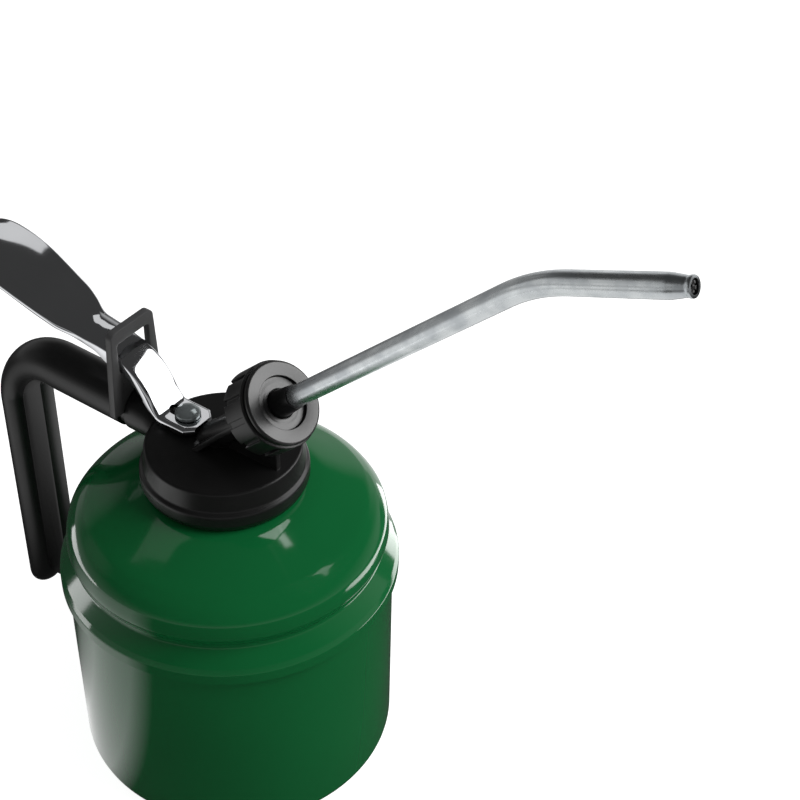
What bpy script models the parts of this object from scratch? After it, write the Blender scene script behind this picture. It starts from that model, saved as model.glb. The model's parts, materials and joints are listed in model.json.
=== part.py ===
"""Lever-operated pump oil can: pressed steel can, moulded pump head, lever, lift pump and swivelling spout.

Metres, +Z up. The origin is the centre of the can's flat base. The spout points to +X, the handle to -X.
"""

import math

import bmesh
import bpy
from mathutils import Vector

MM = 0.001
DEGREE = math.pi / 180
FULL_TURN = 2 * math.pi
QUARTER_TURN = math.pi / 2

# General
GAP = 0.3 * MM
SHEET = 0.8 * MM
OVERRUN = 2.0 * MM
WELD = 0.001 * MM
SMOOTH_ANGLE = 32 * DEGREE
LARGE_STEPS = 56
MEDIUM_STEPS = 32
SMALL_STEPS = 20

# Can
BEAD_R = 50.0 * MM
BEAD_Z = 70.0 * MM
BEAD_DROP = 4.0 * MM
SEAM_STEP = 0.7 * MM
BASE_CORNER = 4.0 * MM
SHOULDER_R = 47.0 * MM
SHOULDER_RISE = 11.0 * MM
SHOULDER_EDGE = 1.8 * MM
GROOVE_R = 45.2 * MM
GROOVE_RISE = 6.2 * MM
DOME_RISE = 28.0 * MM
DOME_FLARE = 4.0 * MM
# Shares of the dome's width and height, from the shoulder's edge up to the neck
DOME_SHARES = (
    (0.0, 0.0), (0.016, 0.13), (0.04, 0.235), (0.119, 0.394), (0.198, 0.5), (0.277, 0.582), (0.435, 0.70),
    (0.593, 0.81), (0.751, 0.905), (0.889, 0.965),
)
NECK_R = 19.7 * MM
NECK_HEIGHT = 6.6 * MM
COLLAR_WALL = 1.0 * MM
GASKET_THICKNESS = 1.2 * MM

# Pump head: the cap that screws on the neck
CAP_FOOT_GAP = 0.7 * MM
CAP_HEIGHT = 12.3 * MM
CAP_TOP_R = 22.4 * MM
CAP_EDGE = 0.9 * MM
CAP_SKIRT_R = 23.1 * MM
CAP_BEAD_R = 24.2 * MM
CAP_BEAD_HEIGHT = 6.2 * MM
CAP_FOOT_R = 23.4 * MM
CAP_DISC = 3.4 * MM
# Shares of the bead's bulge and height, down its rounded outside: out, down
CAP_BEAD_SHARES = ((0.55, 0.1), (0.92, 0.27), (1.0, 0.45), (0.88, 0.7))

# Pump, on an axis behind the can's own
PUMP_X = -12.9 * MM
BARREL_R = 5.4 * MM
BARREL_WALL = 0.9 * MM
BARREL_LENGTH = 44.0 * MM
BARREL_SOCKET = 1.4 * MM
ROD_R = 2.8 * MM
ROD_SPIGOT_R = 1.5 * MM
ROD_TOP = -0.8 * MM
BUSH_WALL = 1.7 * MM
BUSH_TAIL_WALL = 0.6 * MM
BUSH_FLANGE = 1.1 * MM
BUSH_FLANGE_HEIGHT = 0.8 * MM
BUSH_CLEARANCE_RISE = 7.0 * MM
BUSH_LENGTH = 5.2 * MM
BUSH_GUIDE = 0.6 * MM
ROD_SEAL_SECTION_R = 0.42 * MM
PORT_R = 1.2 * MM
PORT_WALL = 1.3 * MM
COLLAR_ON_ROD_R = 4.0 * MM
COLLAR_ON_ROD = 0.8 * MM
WASHER_THICKNESS = 0.5 * MM
PISTON_HEIGHT = 3.8 * MM
PISTON_NUT_HEIGHT = 2.0 * MM
PISTON_NUT_R = 2.8 * MM
CUP_HEIGHT = 2.3 * MM
CUP_WALL = 0.7 * MM
FOOT_PLUG_HEIGHT = 4.6 * MM
FOOT_COLLAR_HEIGHT = 5.0 * MM
FOOT_POCKET_R = 2.7 * MM
FOOT_POCKET_DEPTH = 2.7 * MM
FOOT_CONE_DEPTH = 1.5 * MM
FOOT_BORE_R = 1.3 * MM
FOOT_BALL_R = 2.0 * MM
SUCTION_R = 2.5 * MM
SUCTION_WALL = 0.5 * MM
SUCTION_SOCKET = 3.2 * MM
STRAINER_R = 4.6 * MM
STRAINER_HEIGHT = 8.0 * MM
STRAINER_CLEARANCE = 2.0 * MM
STRAINER_FLOOR = 0.8 * MM
STRAINER_COLLAR_HEIGHT = 3.0 * MM
SPRING_WIRE_R = 0.25 * MM
SPRING_TURNS = 9
SPRING_POINTS = 9
SPRING_END_FLATNESS = 1.0

# Outlet: the boss, its valve, the union nut and the spout, along one sloping axis
OUTLET_ANGLE = 43.7 * DEGREE
OUTLET_X = -3.8 * MM
OUTLET_LENGTH = 36.2 * MM
BOSS_R = 4.2 * MM
THREAD_R = 8.0 * MM
PASSAGE_R = 1.4 * MM
OUTLET_BORE_R = 3.0 * MM
OUTLET_BORE_DEPTH = 5.5 * MM
OUTLET_CONE_DEPTH = 1.4 * MM
OUTLET_BALL_R = 2.0 * MM
OUTLET_STOP = 0.8 * MM
NUT_R = 12.3 * MM
NUT_LENGTH = 10.5 * MM
NUT_FLANGE_R = 11.7 * MM
NUT_FLANGE = 1.9 * MM
NUT_FACE_R = 11.05 * MM
NUT_FRONT_WALL = 2.4 * MM
NUT_RECESS_R = 7.5 * MM
NUT_RECESS = 1.4 * MM
NUT_DISH = 0.3 * MM
NUT_LUG_HEIGHT = 1.1 * MM
NUT_LUGS = 12
NUT_GROOVE_SHARE = 0.26
NUT_LUG_SHARES = (0.06, 0.5, 0.94)
NUT_FLOOR_SHARES = (0.2, 0.8)
NUT_NECK = 0.5 * MM
NIPPLE_FLANGE = 1.2 * MM
NIPPLE_R = 3.9 * MM
NIPPLE_END_R = 3.55 * MM
NIPPLE_REACH = 5.6 * MM
SPOUT_GASKET = 1.2 * MM
RIB_THICKNESS = 1.6 * MM
RIB_HALF = 8.0 * MM
RIB_REACH = 12.5 * MM
RIB_ROOT = 3.5 * MM
WEB_THICKNESS = 1.8 * MM
WEB_FRONT = 19.8 * MM
WEB_POST = 4.6 * MM
WEB_SHARE = 0.9

# Spout
TUBE_R = 2.95 * MM
TUBE_WALL = 0.7 * MM
TUBE_FIRST = 99.5 * MM
TUBE_SECOND = 39.4 * MM
TUBE_BEND = 22.6 * DEGREE
TUBE_BEND_R = 46.0 * MM
TUBE_BEND_STEPS = 8
TUBE_INLET_ROUND = 0.7 * MM
TIP_TAPER = 5.5 * MM
TIP_R = 2.3 * MM
TIP_RING_R = 2.5 * MM
TIP_RING = 0.9 * MM
TIP_RING_START = 1.3 * TIP_RING
TIP_WALL = 0.55 * MM
NOZZLE_LENGTH = 3.0 * MM
NOZZLE_HOLE_R = 0.5 * MM
NOZZLE_RECESS = 0.4 * MM
NOZZLE_STEPS = 12

# Handle arm and grip
ARM_R = 7.3 * MM
ARM_DROP = 2.25 * MM
ARM_END_X = -62.0 * MM
GRIP_ELBOW_R = 26.0 * MM
GRIP_BACK_HALF = 4.2 * MM
GRIP_WEB = 5.4 * MM
GRIP_FRONT_X = -71.2 * MM
GRIP_LENGTH = 82.0 * MM
GRIP_FILLET = 2.2 * MM
GRIP_ROOT = 0.7 * MM
ELBOW_STEPS = 8
GRIP_END_STEPS = 4
GRIP_END_SHARE = 0.25
# Shares of the arm's radius for the sections inside the cap: forward, down, half-depth, half-width
ARM_ROOT_SHARES = ((0.85, 0.4, 0.5, 0.7), (0.35, 0.25, 0.62, 0.9), (-0.25, 0.0, 1.0, 1.0))

# Fulcrum bracket
BRACKET_X = -32.8 * MM
BRACKET_THICKNESS = 2.4 * MM
BRACKET_HALF = 8.7 * MM
BRACKET_FOOT_HALF = 10.2 * MM
BRACKET_TOP = 27.6 * MM
BRACKET_FOOT = -1.0 * MM
BRACKET_CORNER = 2.4 * MM
BRACKET_SEAT_DEPTH = 0.9 * MM
WINDOW_HALF = 6.5 * MM
WINDOW_SILL = 13.0 * MM
WINDOW_TOP = 23.3 * MM
WINDOW_CORNER = 1.0 * MM

# Lever: a pressed channel, from its flat tongue back through the bracket's window to the thumb plate
LEVER_SHEET = 1.2 * MM
TONGUE_RISE = 3.2 * MM
TONGUE_REACH = 5.6 * MM
TONGUE_BACK = 5.2 * MM
TONGUE_HALF = 6.1 * MM
TONGUE_CHAMFER = 2.3 * MM
LEVER_HALF = 5.9 * MM
LEVER_WEB_RISE = 18.0 * MM
LEVER_REAR = 62.5 * MM
LEVER_REAR_RISE = 17.0 * MM
THUMB_HALF = 11.6 * MM
LEVER_CORNER = 0.9 * MM
LEVER_LIP = 3.4 * MM
NOTCH_HALF = 1.6 * MM
NOTCH_MOUTH_HALF = 2.3 * MM
NOTCH_DEPTH = 1.2 * MM
ROCK_GAP = 0.5 * MM
SLOT_HALF = 2.2 * MM
SLOT_BACK = 6.4 * MM
SCREW_HEAD_R = 3.75 * MM
SCREW_HEAD_HEIGHT = 2.5 * MM
SCREW_LENGTH = 9.5 * MM
SCREW_RIM = 0.6 * MM

# Shares of the lever's front rise, from the tongue's bend to the web over the sill: along, up, lip
LEVER_FRONT_SHARES = (
    (0.0, 0.0, 0.44), (0.10, 0.05, 0.55), (0.20, 0.19, 0.78), (0.32, 0.42, 0.92), (0.50, 0.67, 1.05),
    (0.70, 0.84, 1.2), (0.87, 0.94, 1.5),
)
# Shares of the lever's rear, from there to its end: along, up, half-width of the thumb plate, lip, crown
LEVER_REAR_SHARES = (
    (0.0, 0.0, 0.51, 1.75, 0.12), (0.05, 0.07, 0.51, 1.65, 0.30), (0.12, 0.15, 0.53, 1.3, 0.55),
    (0.19, 0.18, 0.55, 1.1, 0.60), (0.25, 0.21, 0.58, 1.0, 0.55), (0.32, 0.31, 0.74, 0.95, 0.50),
    (0.38, 0.41, 0.82, 0.9, 0.45), (0.45, 0.50, 0.87, 0.85, 0.40), (0.54, 0.63, 0.93, 0.8, 0.40),
    (0.64, 0.77, 0.98, 0.8, 0.40), (0.75, 0.89, 1.0, 0.8, 0.40), (0.86, 0.97, 0.98, 0.8, 0.40),
    (0.93, 1.0, 0.88, 0.8, 0.40), (0.98, 0.99, 0.66, 0.75, 0.30), (1.0, 0.98, 0.42, 0.7, 0.20),
)
LEVER_CROWN = 3.0 * MM
# Shares of the channel's half-width and crown, across its web: across, drop
WEB_CROWN_SHARES = ((-0.66, 0.44), (-0.33, 0.11), (0, 0), (0.33, 0.11), (0.66, 0.44))
CORNER_SHARE = 0.3
INNER_LIP_SHARE = 0.2
NARROWEST_SHARE = -0.3

# Derived places
BODY_R = BEAD_R - SHEET - GAP - SEAM_STEP
DOME_TOP_Z = BEAD_Z + DOME_RISE
TOP_Z = DOME_TOP_Z + CAP_FOOT_GAP + CAP_HEIGHT
COLLAR_R = NECK_R + GAP + COLLAR_WALL
COLLAR_TOP_Z = TOP_Z - CAP_DISC - GAP - GASKET_THICKNESS - GAP
CAP_BORE_R = COLLAR_R + 2 * GAP
BARREL_TOP = -CAP_DISC + BARREL_SOCKET - GAP
BARREL_BORE_R = BARREL_R - BARREL_WALL
BARREL_BOTTOM = BARREL_TOP - BARREL_LENGTH
PISTON_R = BARREL_BORE_R - GAP
BUSH_R = ROD_R + GAP + BUSH_WALL
SPRING_R = (ROD_R + BARREL_BORE_R) / 2
FOOT_PLUG_TOP = BARREL_BOTTOM - GAP + FOOT_PLUG_HEIGHT
PISTON_NUT_BOTTOM = FOOT_PLUG_TOP + 3 * GAP
PISTON_BOTTOM = PISTON_NUT_BOTTOM + PISTON_NUT_HEIGHT + GAP
CUP_BOTTOM = PISTON_BOTTOM + PISTON_HEIGHT + GAP
ROD_SHOULDER = CUP_BOTTOM + CUP_WALL + GAP
ROD_COLLAR_BOTTOM = CUP_BOTTOM + CUP_HEIGHT + GAP
ROD_COLLAR_TOP = ROD_COLLAR_BOTTOM + COLLAR_ON_ROD
SOCKET_TOP = -CAP_DISC + BARREL_SOCKET
BUSH_BOTTOM = SOCKET_TOP - BUSH_LENGTH
ROD_SEAL_Z = BUSH_BOTTOM - GAP - ROD_SEAL_SECTION_R
WASHER_TOP = ROD_SEAL_Z - ROD_SEAL_SECTION_R - GAP
SPRING_TOP = WASHER_TOP - WASHER_THICKNESS - GAP
SPRING_BOTTOM = ROD_COLLAR_TOP + GAP
SUCTION_TOP = BARREL_BOTTOM - GAP - FOOT_COLLAR_HEIGHT + SUCTION_SOCKET - GAP
STRAINER_BOTTOM_Z = SHEET + STRAINER_CLEARANCE
OUTLET_DIRECTION = Vector((math.cos(OUTLET_ANGLE), 0, math.sin(OUTLET_ANGLE)))
OUTLET_POINT = Vector((OUTLET_X, 0, TOP_Z)) + OUTLET_LENGTH * OUTLET_DIRECTION
NIPPLE_FRONT = -NUT_FRONT_WALL - GAP
NIPPLE_BACK = NIPPLE_FRONT - NIPPLE_FLANGE
SPOUT_GASKET_FRONT = NIPPLE_BACK - GAP
SPOUT_GASKET_BACK = SPOUT_GASKET_FRONT - SPOUT_GASKET
BOSS_END = SPOUT_GASKET_BACK - GAP
FLANGE_R = THREAD_R - GAP
BOSS_END_R = THREAD_R - GAP
PIVOT = Vector((BRACKET_X, 0, TOP_Z + WINDOW_SILL))
PORT_FRONT = (PUMP_X + BARREL_R + OVERRUN - OUTLET_X) / OUTLET_DIRECTION.x - OUTLET_LENGTH
PORT_BACK = (PUMP_X - OUTLET_X) / OUTLET_DIRECTION.x - OUTLET_LENGTH

# Finishes: colour, roughness, metallic
FINISHES = {
    "green_paint": ((0.01, 0.16, 0.04), 0.15, 0.0),
    "black_plastic": ((0.012, 0.012, 0.013), 0.42, 0.0),
    "black_steel": ((0.02, 0.02, 0.022), 0.38, 0.4),
    "chrome": ((0.82, 0.83, 0.84), 0.07, 1.0),
    "zinc": ((0.62, 0.65, 0.67), 0.32, 1.0),
    "brass": ((0.72, 0.5, 0.2), 0.3, 1.0),
    "steel": ((0.6, 0.6, 0.6), 0.25, 1.0),
    "rubber": ((0.02, 0.02, 0.02), 0.75, 0.0),
    "clear_plastic": ((0.75, 0.77, 0.72), 0.35, 0.0),
}
MATERIALS = {}


def material(name):
    """One Principled material, made the first time that it is asked for."""
    if name not in MATERIALS:
        colour, roughness, metallic = FINISHES[name]
        made = bpy.data.materials.new(name)
        made.use_nodes = True
        shader = made.node_tree.nodes["Principled BSDF"]
        shader.inputs["Base Color"].default_value = (*colour, 1.0)
        shader.inputs["Roughness"].default_value = roughness
        shader.inputs["Metallic"].default_value = metallic
        made.diffuse_color = (*colour, 1.0)
        MATERIALS[name] = made
    return MATERIALS[name]


def empty(name, location, angle_y=0.0):
    """A frame that pieces are parented to: its origin is on their axis."""
    frame = bpy.data.objects.new(name, None)
    bpy.context.scene.collection.objects.link(frame)
    frame.location = location
    frame.rotation_euler = (0, angle_y, 0)
    return frame


def is_disc_centre(vertex):
    """Whether a vertex is only the middle of a fan of faces that lie in one plane."""
    first = vertex.link_faces[0]
    return vertex.co.xy.length < WELD and all(
        face.normal.dot(first.normal) > 1 - WELD for face in vertex.link_faces
    )


def is_flat(face):
    """Whether every corner lies in the face's plane, which a Boolean relies on."""
    middle = face.calc_center_median()
    return all(abs((vertex.co - middle).dot(face.normal)) < WELD / 10 for vertex in face.verts)


def finish(name, bm, finish_material, parent=None):
    """Makes a bmesh an object with outward faces and smooth shading."""
    bmesh.ops.remove_doubles(bm, verts=bm.verts, dist=WELD)
    bmesh.ops.recalc_face_normals(bm, faces=bm.faces)
    bm.normal_update()
    bmesh.ops.dissolve_verts(bm, verts=[vertex for vertex in bm.verts if is_disc_centre(vertex)])
    bmesh.ops.triangulate(bm, faces=[face for face in bm.faces if not is_flat(face)])
    mesh = bpy.data.meshes.new(name)
    bm.to_mesh(mesh)
    bm.free()
    mesh.shade_smooth()
    mesh.set_sharp_from_angle(angle=SMOOTH_ANGLE)
    made = bpy.data.objects.new(name, mesh)
    if finish_material:
        mesh.materials.append(finish_material)
    bpy.context.scene.collection.objects.link(made)
    made.parent = parent
    return made


def turn_round(bm, line, steps):
    """Spins points and edges a full turn round Z."""
    axis = (0, 0, 1)
    bmesh.ops.spin(bm, geom=line, cent=(0, 0, 0), axis=axis, angle=FULL_TURN, steps=steps, use_merge=True)


def revolved(name, profile, finish_material, parent=None, steps=MEDIUM_STEPS):
    """A profile of (radius, height) points turned round Z, a closed loop unless both ends are on the axis."""
    bm = bmesh.new()
    points = [bm.verts.new((radius, 0, height)) for radius, height in profile]
    solid = profile[0][0] == 0 and profile[-1][0] == 0
    following = points[1:] if solid else points[1:] + points[:1]
    edges = [bm.edges.new(pair) for pair in zip(points, following)]
    turn_round(bm, points + edges, steps)
    return finish(name, bm, finish_material, parent)


def lofted(name, loops, finish_material, parent=None, ring=False):
    """Closed loops of points joined in order, with the two ends capped, or joined to each other in a ring."""
    bm = bmesh.new()
    rows = [[bm.verts.new(point) for point in loop] for loop in loops]
    following = rows[1:] + rows[:1] if ring else rows[1:]
    for row, after in zip(rows, following):
        for index in range(len(row)):
            beside = (index + 1) % len(row)
            bm.faces.new((row[index], row[beside], after[beside], after[index]))
    if not ring:
        bm.faces.new(rows[0])
        bm.faces.new(rows[-1])
    return finish(name, bm, finish_material, parent)


def extruded(name, outline, depth, finish_material, parent=None, centre=0.0):
    """An outline of (x, z) points given a thickness along Y, half to each side of the centre."""
    loops = [[(x, centre + side * depth / 2, z) for x, z in outline] for side in (-1, 1)]
    return lofted(name, loops, finish_material, parent)


def helper(made):
    """Marks an object as a cutter or an operand: never rendered, drawn as wire."""
    made.hide_render = True
    made.display_type = "WIRE"
    return made


def combine(target, other, operation):
    """Adds a Boolean modifier."""
    modifier = target.modifiers.new(f"{operation.lower()} {other.name}", "BOOLEAN")
    modifier.operation = operation
    modifier.solver = "EXACT"
    modifier.object = helper(other)


def cut(target, cutter):
    """Takes the cutter out of the target."""
    combine(target, cutter, "DIFFERENCE")


def join(target, other):
    """Makes the other body one with the target."""
    combine(target, other, "UNION")


def arc(centre, radius, start, end, steps):
    """Points on a circle in a plane, both ends included."""
    angles = [start + (end - start) * step / steps for step in range(steps + 1)]
    return [(centre[0] + radius * math.cos(angle), centre[1] + radius * math.sin(angle)) for angle in angles]


def offset_profile(profile, distance):
    """The profile moved sideways by the distance, to the right of its own direction."""
    moved = []
    for index, point in enumerate(profile):
        before = Vector(profile[max(index - 1, 0)])
        after = Vector(profile[min(index + 1, len(profile) - 1)])
        here = Vector(point)
        sides = [(here - before), (after - here)]
        normals = [Vector((side.y, -side.x)).normalized() for side in sides if side.length > WELD]
        mean = sum(normals, Vector((0, 0))) / len(normals)
        moved.append(tuple(here + mean * distance / mean.length_squared))
    return moved


def coil(name, radius, wire_r, bottom, top, turns, finish_material, parent):
    """A compression spring with closed ends: one tube along a helix whose pitch eases off at both ends."""
    count = turns * SPRING_POINTS
    low, high = bottom + wire_r, top - wire_r
    flat = SPRING_END_FLATNESS
    end_pitch = 2 * wire_r + 2 * GAP
    open_pitch = (high - low - 2 * flat * end_pitch) / (turns - 2 * flat)
    points = []
    for step in range(count + 1):
        turn = step / SPRING_POINTS
        closed = min(turn, flat) + max(turn - turns + flat, 0)
        opened = min(max(turn - flat, 0), turns - 2 * flat)
        angle = FULL_TURN * turn
        height = low + end_pitch * closed + open_pitch * opened
        points.append(Vector((radius * math.cos(angle), radius * math.sin(angle), height)))
    pairs = zip(points, points[SPRING_POINTS:])
    gap = min((point - above).length - 2 * wire_r for point, above in pairs)
    print(f"{name}: least gap between turns {gap / MM:.2f} mm")
    curve = bpy.data.curves.new(name, "CURVE")
    curve.dimensions = "3D"
    curve.bevel_depth = wire_r
    curve.bevel_resolution = 1
    curve.use_fill_caps = True
    spline = curve.splines.new("POLY")
    spline.points.add(len(points) - 1)
    for point, place in zip(spline.points, points):
        point.co = (*place, 1.0)
    made = bpy.data.objects.new(name, curve)
    curve.materials.append(finish_material)
    bpy.context.scene.collection.objects.link(made)
    made.parent = parent
    return made


def ball_height(radius, bore_r, cone_r, cone_depth):
    """How far above a cone's narrow end the centre of a ball lies when it nearly touches the cone."""
    slope = Vector((cone_r - bore_r, cone_depth)).normalized()
    return (radius + GAP - bore_r * slope.y) / slope.x


def can_dome():
    """Upper shell of the can: neck, bell-shaped dome, shoulder edge, groove and the rolled bead."""
    top = DOME_TOP_Z + NECK_HEIGHT
    shoulder_z = BEAD_Z + SHOULDER_RISE
    dome_depth = DOME_TOP_Z - shoulder_z
    dome_width = SHOULDER_R - NECK_R - DOME_FLARE / 2
    outer = [(NECK_R, top), (NECK_R, DOME_TOP_Z + DOME_FLARE / 4), (NECK_R + DOME_FLARE / 4, DOME_TOP_Z)]
    for across, up in reversed(DOME_SHARES):
        outer.append((SHOULDER_R - dome_width * across, shoulder_z + dome_depth * up))
    edge = SHOULDER_EDGE
    outer += [
        (SHOULDER_R - edge / 4, shoulder_z - edge),
        (GROOVE_R + edge / 4, BEAD_Z + GROOVE_RISE + edge / 2),
        (GROOVE_R, BEAD_Z + GROOVE_RISE),
        ((GROOVE_R + BEAD_R) / 2, BEAD_Z + GROOVE_RISE / 3),
        (BEAD_R - SHEET / 2, BEAD_Z + SHEET),
        (BEAD_R, BEAD_Z),
        (BEAD_R, BEAD_Z - BEAD_DROP),
    ]
    inner = offset_profile(outer, SHEET)
    return revolved("can_dome", outer + inner[::-1], material("green_paint"), steps=LARGE_STEPS)


def can_body():
    """Deep-drawn lower body, whose open top slips inside the dome's bead."""
    corner = arc((BODY_R - BASE_CORNER, BASE_CORNER), BASE_CORNER, 0, -QUARTER_TURN, 4)
    inner_corner = arc((BODY_R - BASE_CORNER, BASE_CORNER), BASE_CORNER - SHEET, -QUARTER_TURN, 0, 4)
    rim = BEAD_Z - SHEET
    profile = [(BODY_R, rim), *corner, (0, 0)]
    inside = [(0, SHEET), *inner_corner, (BODY_R - SHEET, rim)]
    return revolved_cup("can_body", profile, inside, material("green_paint"), LARGE_STEPS)


def revolved_cup(name, outside, inside, finish_material, steps, parent=None):
    """A turned cup: its outside runs down to the axis, its inside back up, and a rim joins them."""
    bm = bmesh.new()
    for run in (outside, inside):
        points = [bm.verts.new((radius, 0, height)) for radius, height in run]
        edges = [bm.edges.new(pair) for pair in zip(points, points[1:])]
        turn_round(bm, points + edges, steps)
    bmesh.ops.remove_doubles(bm, verts=bm.verts, dist=WELD)
    open_edges = [edge for edge in bm.edges if edge.is_boundary]
    bmesh.ops.bridge_loops(bm, edges=open_edges)
    return finish(name, bm, finish_material, parent)


def neck_collar():
    """Threaded collar rolled over the rim of the can's neck."""
    bottom = DOME_TOP_Z + DOME_FLARE / 4 + GAP
    under = DOME_TOP_Z + NECK_HEIGHT + GAP
    return revolved(
        "neck_collar",
        [
            (NECK_R - SHEET, COLLAR_TOP_Z),
            (COLLAR_R, COLLAR_TOP_Z),
            (COLLAR_R, bottom),
            (NECK_R + GAP, bottom),
            (NECK_R + GAP, under),
            (NECK_R - SHEET, under),
        ],
        material("steel"),
        steps=LARGE_STEPS,
    )


def cap_gasket(parent):
    """Flat ring between the collar and the cap."""
    top = -CAP_DISC - GAP
    inner, outer = NECK_R - SHEET, COLLAR_R
    bottom = top - GASKET_THICKNESS
    return tube_ring("cap_gasket", inner, outer, bottom, top, material("rubber"), parent, LARGE_STEPS)


def cap_shape(parent):
    """The cap's outside: flat top, flaring skirt and rounded bead at its foot."""
    bead_top = -CAP_HEIGHT + CAP_BEAD_HEIGHT
    bulge = CAP_BEAD_R - CAP_SKIRT_R
    bead = [(CAP_SKIRT_R + bulge * out, bead_top - CAP_BEAD_HEIGHT * down) for out, down in CAP_BEAD_SHARES]
    return revolved(
        "pump_head",
        [
            (0, 0),
            (CAP_TOP_R - CAP_EDGE, 0),
            (CAP_TOP_R - CAP_EDGE / 4, -CAP_EDGE / 4),
            (CAP_TOP_R, -CAP_EDGE),
            (CAP_SKIRT_R, bead_top),
            *bead,
            (CAP_FOOT_R, -CAP_HEIGHT),
            (0, -CAP_HEIGHT),
        ],
        material("black_plastic"),
        parent,
        LARGE_STEPS,
    )


def arm_sections():
    """Ellipses along the arm, round the elbow and down the grip's back: centre, outward normal, two radii."""
    crown = ARM_R - ARM_DROP
    sections = []
    for forward, down, depth, width in ARM_ROOT_SHARES:
        centre = Vector((ARM_R * forward - CAP_TOP_R, 0, -ARM_DROP - ARM_R * down))
        sections.append((centre, Vector((0, 0, 1)), ARM_R * depth, ARM_R * width))
    for step in range(ELBOW_STEPS + 1):
        share = step / ELBOW_STEPS
        angle = QUARTER_TURN * share
        outward = Vector((-math.sin(angle), 0, math.cos(angle)))
        half = ARM_R + (GRIP_BACK_HALF - ARM_R) * share
        surface = Vector((ARM_END_X, 0, crown - GRIP_ELBOW_R)) + outward * GRIP_ELBOW_R
        sections.append((surface - outward * half, outward, half, ARM_R))
    back = sections[-1][0]
    rear = Vector((-1, 0, 0))
    for step in range(GRIP_END_STEPS + 1):
        angle = QUARTER_TURN * step / GRIP_END_STEPS
        size = max(math.cos(angle), GRIP_END_SHARE)
        down = GRIP_LENGTH - ARM_R + ARM_R * math.sin(angle)
        sections.append((back - Vector((0, 0, down)), rear, GRIP_BACK_HALF * size, ARM_R * size))
    return sections


def arm_shape(parent, steps=24):
    """The handle's round arm and the rounded back of its grip, as one swept body."""
    loops = []
    for centre, outward, half_depth, half_width in arm_sections():
        loop = []
        for index in range(steps):
            angle = FULL_TURN * index / steps
            across = Vector((0, half_width * math.sin(angle), 0))
            loop.append(centre + outward * half_depth * math.cos(angle) + across)
        loops.append(loop)
    return lofted("arm_body", loops, None, parent)


def grip_web_shape(parent):
    """The flat web of the grip, which faces the can and stiffens the elbow."""
    under = -ARM_DROP - ARM_R - GRIP_ROOT
    crown = ARM_R - ARM_DROP
    middle = crown - GRIP_ELBOW_R
    bottom = middle - GRIP_LENGTH + ARM_R
    curve_r = GRIP_ELBOW_R - GRIP_BACK_HALF
    back = ARM_END_X - curve_r
    outline = arc((ARM_END_X, middle), curve_r, QUARTER_TURN, 2 * QUARTER_TURN, ELBOW_STEPS)
    outline += [(back, bottom)]
    low_corner = (GRIP_FRONT_X - GRIP_FILLET, bottom + GRIP_FILLET)
    high_corner = (GRIP_FRONT_X + GRIP_FILLET, under - GRIP_FILLET)
    outline += arc(low_corner, GRIP_FILLET, -QUARTER_TURN, 0, 3)
    outline += arc(high_corner, GRIP_FILLET, 2 * QUARTER_TURN, QUARTER_TURN, 3)
    outline += [(ARM_END_X, -ARM_DROP - ARM_R / 2), (ARM_END_X + ARM_R, -ARM_DROP)]
    return extruded("grip_web", outline, GRIP_WEB, None, parent)


def outlet_cylinder(name, radius, back, front, parent):
    """A plain round bar along its parent's Z, from one height to another."""
    return revolved(name, [(0, back), (radius, back), (radius, front), (0, front)], None, parent)


def outlet_point(along, across=0.0):
    """A place on the outlet's plane, in the head's frame: along its axis, and across it, forward and down."""
    x = OUTLET_POINT.x + along * math.cos(OUTLET_ANGLE) + across * math.sin(OUTLET_ANGLE)
    z = OUTLET_POINT.z - TOP_Z + along * math.sin(OUTLET_ANGLE) - across * math.cos(OUTLET_ANGLE)
    return (x, z)


def rib_shape(outlet):
    """The boss's side ribs: one flat plate along the outlet's axis, narrowing from the cap to the boss."""
    root = -OUTLET_LENGTH - RIB_ROOT
    outline = [
        (-RIB_HALF, root),
        (RIB_HALF, root),
        (RIB_HALF, -OUTLET_LENGTH),
        (BOSS_R / 2, RIB_REACH - OUTLET_LENGTH),
        (-BOSS_R / 2, RIB_REACH - OUTLET_LENGTH),
        (-RIB_HALF, -OUTLET_LENGTH),
    ]
    return crosswise("boss_ribs", outline, RIB_THICKNESS, 0, None, outlet)


def web_outline():
    """The middle web under the boss, with the low post at its front."""
    behind = -NUT_LENGTH - OVERRUN / 2
    return [
        (OUTLET_X, -CAP_DISC / 2),
        (OUTLET_X, BOSS_R / 2),
        outlet_point(behind, 0),
        outlet_point(behind, BOSS_END_R * WEB_SHARE),
        (WEB_FRONT, WEB_POST),
        (WEB_FRONT, -CAP_DISC / 2),
    ]


def bracket_outline(half, foot_half, foot, top, inner_r, corner):
    """Outline across the arm, in (y, z): a plate, wider at its feet, cut out to straddle the arm."""
    rise = foot + ARM_DROP
    reach = math.asin(min(rise / inner_r, 1))
    saddle = arc((0, -ARM_DROP), inner_r, reach, 2 * QUARTER_TURN - reach, 12)
    corners = arc((-half + corner, top - corner), corner, 2 * QUARTER_TURN, QUARTER_TURN, 3)
    corners += arc((half - corner, top - corner), corner, QUARTER_TURN, 0, 3)
    return [(foot_half, foot), *saddle, (-foot_half, foot), *corners]


def crosswise(name, outline, thickness, x, finish_material, parent):
    """An outline of (y, z) points given a thickness along X."""
    loops = [[(x + side * thickness / 2, y, z) for y, z in outline] for side in (-1, 1)]
    return lofted(name, loops, finish_material, parent)


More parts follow.
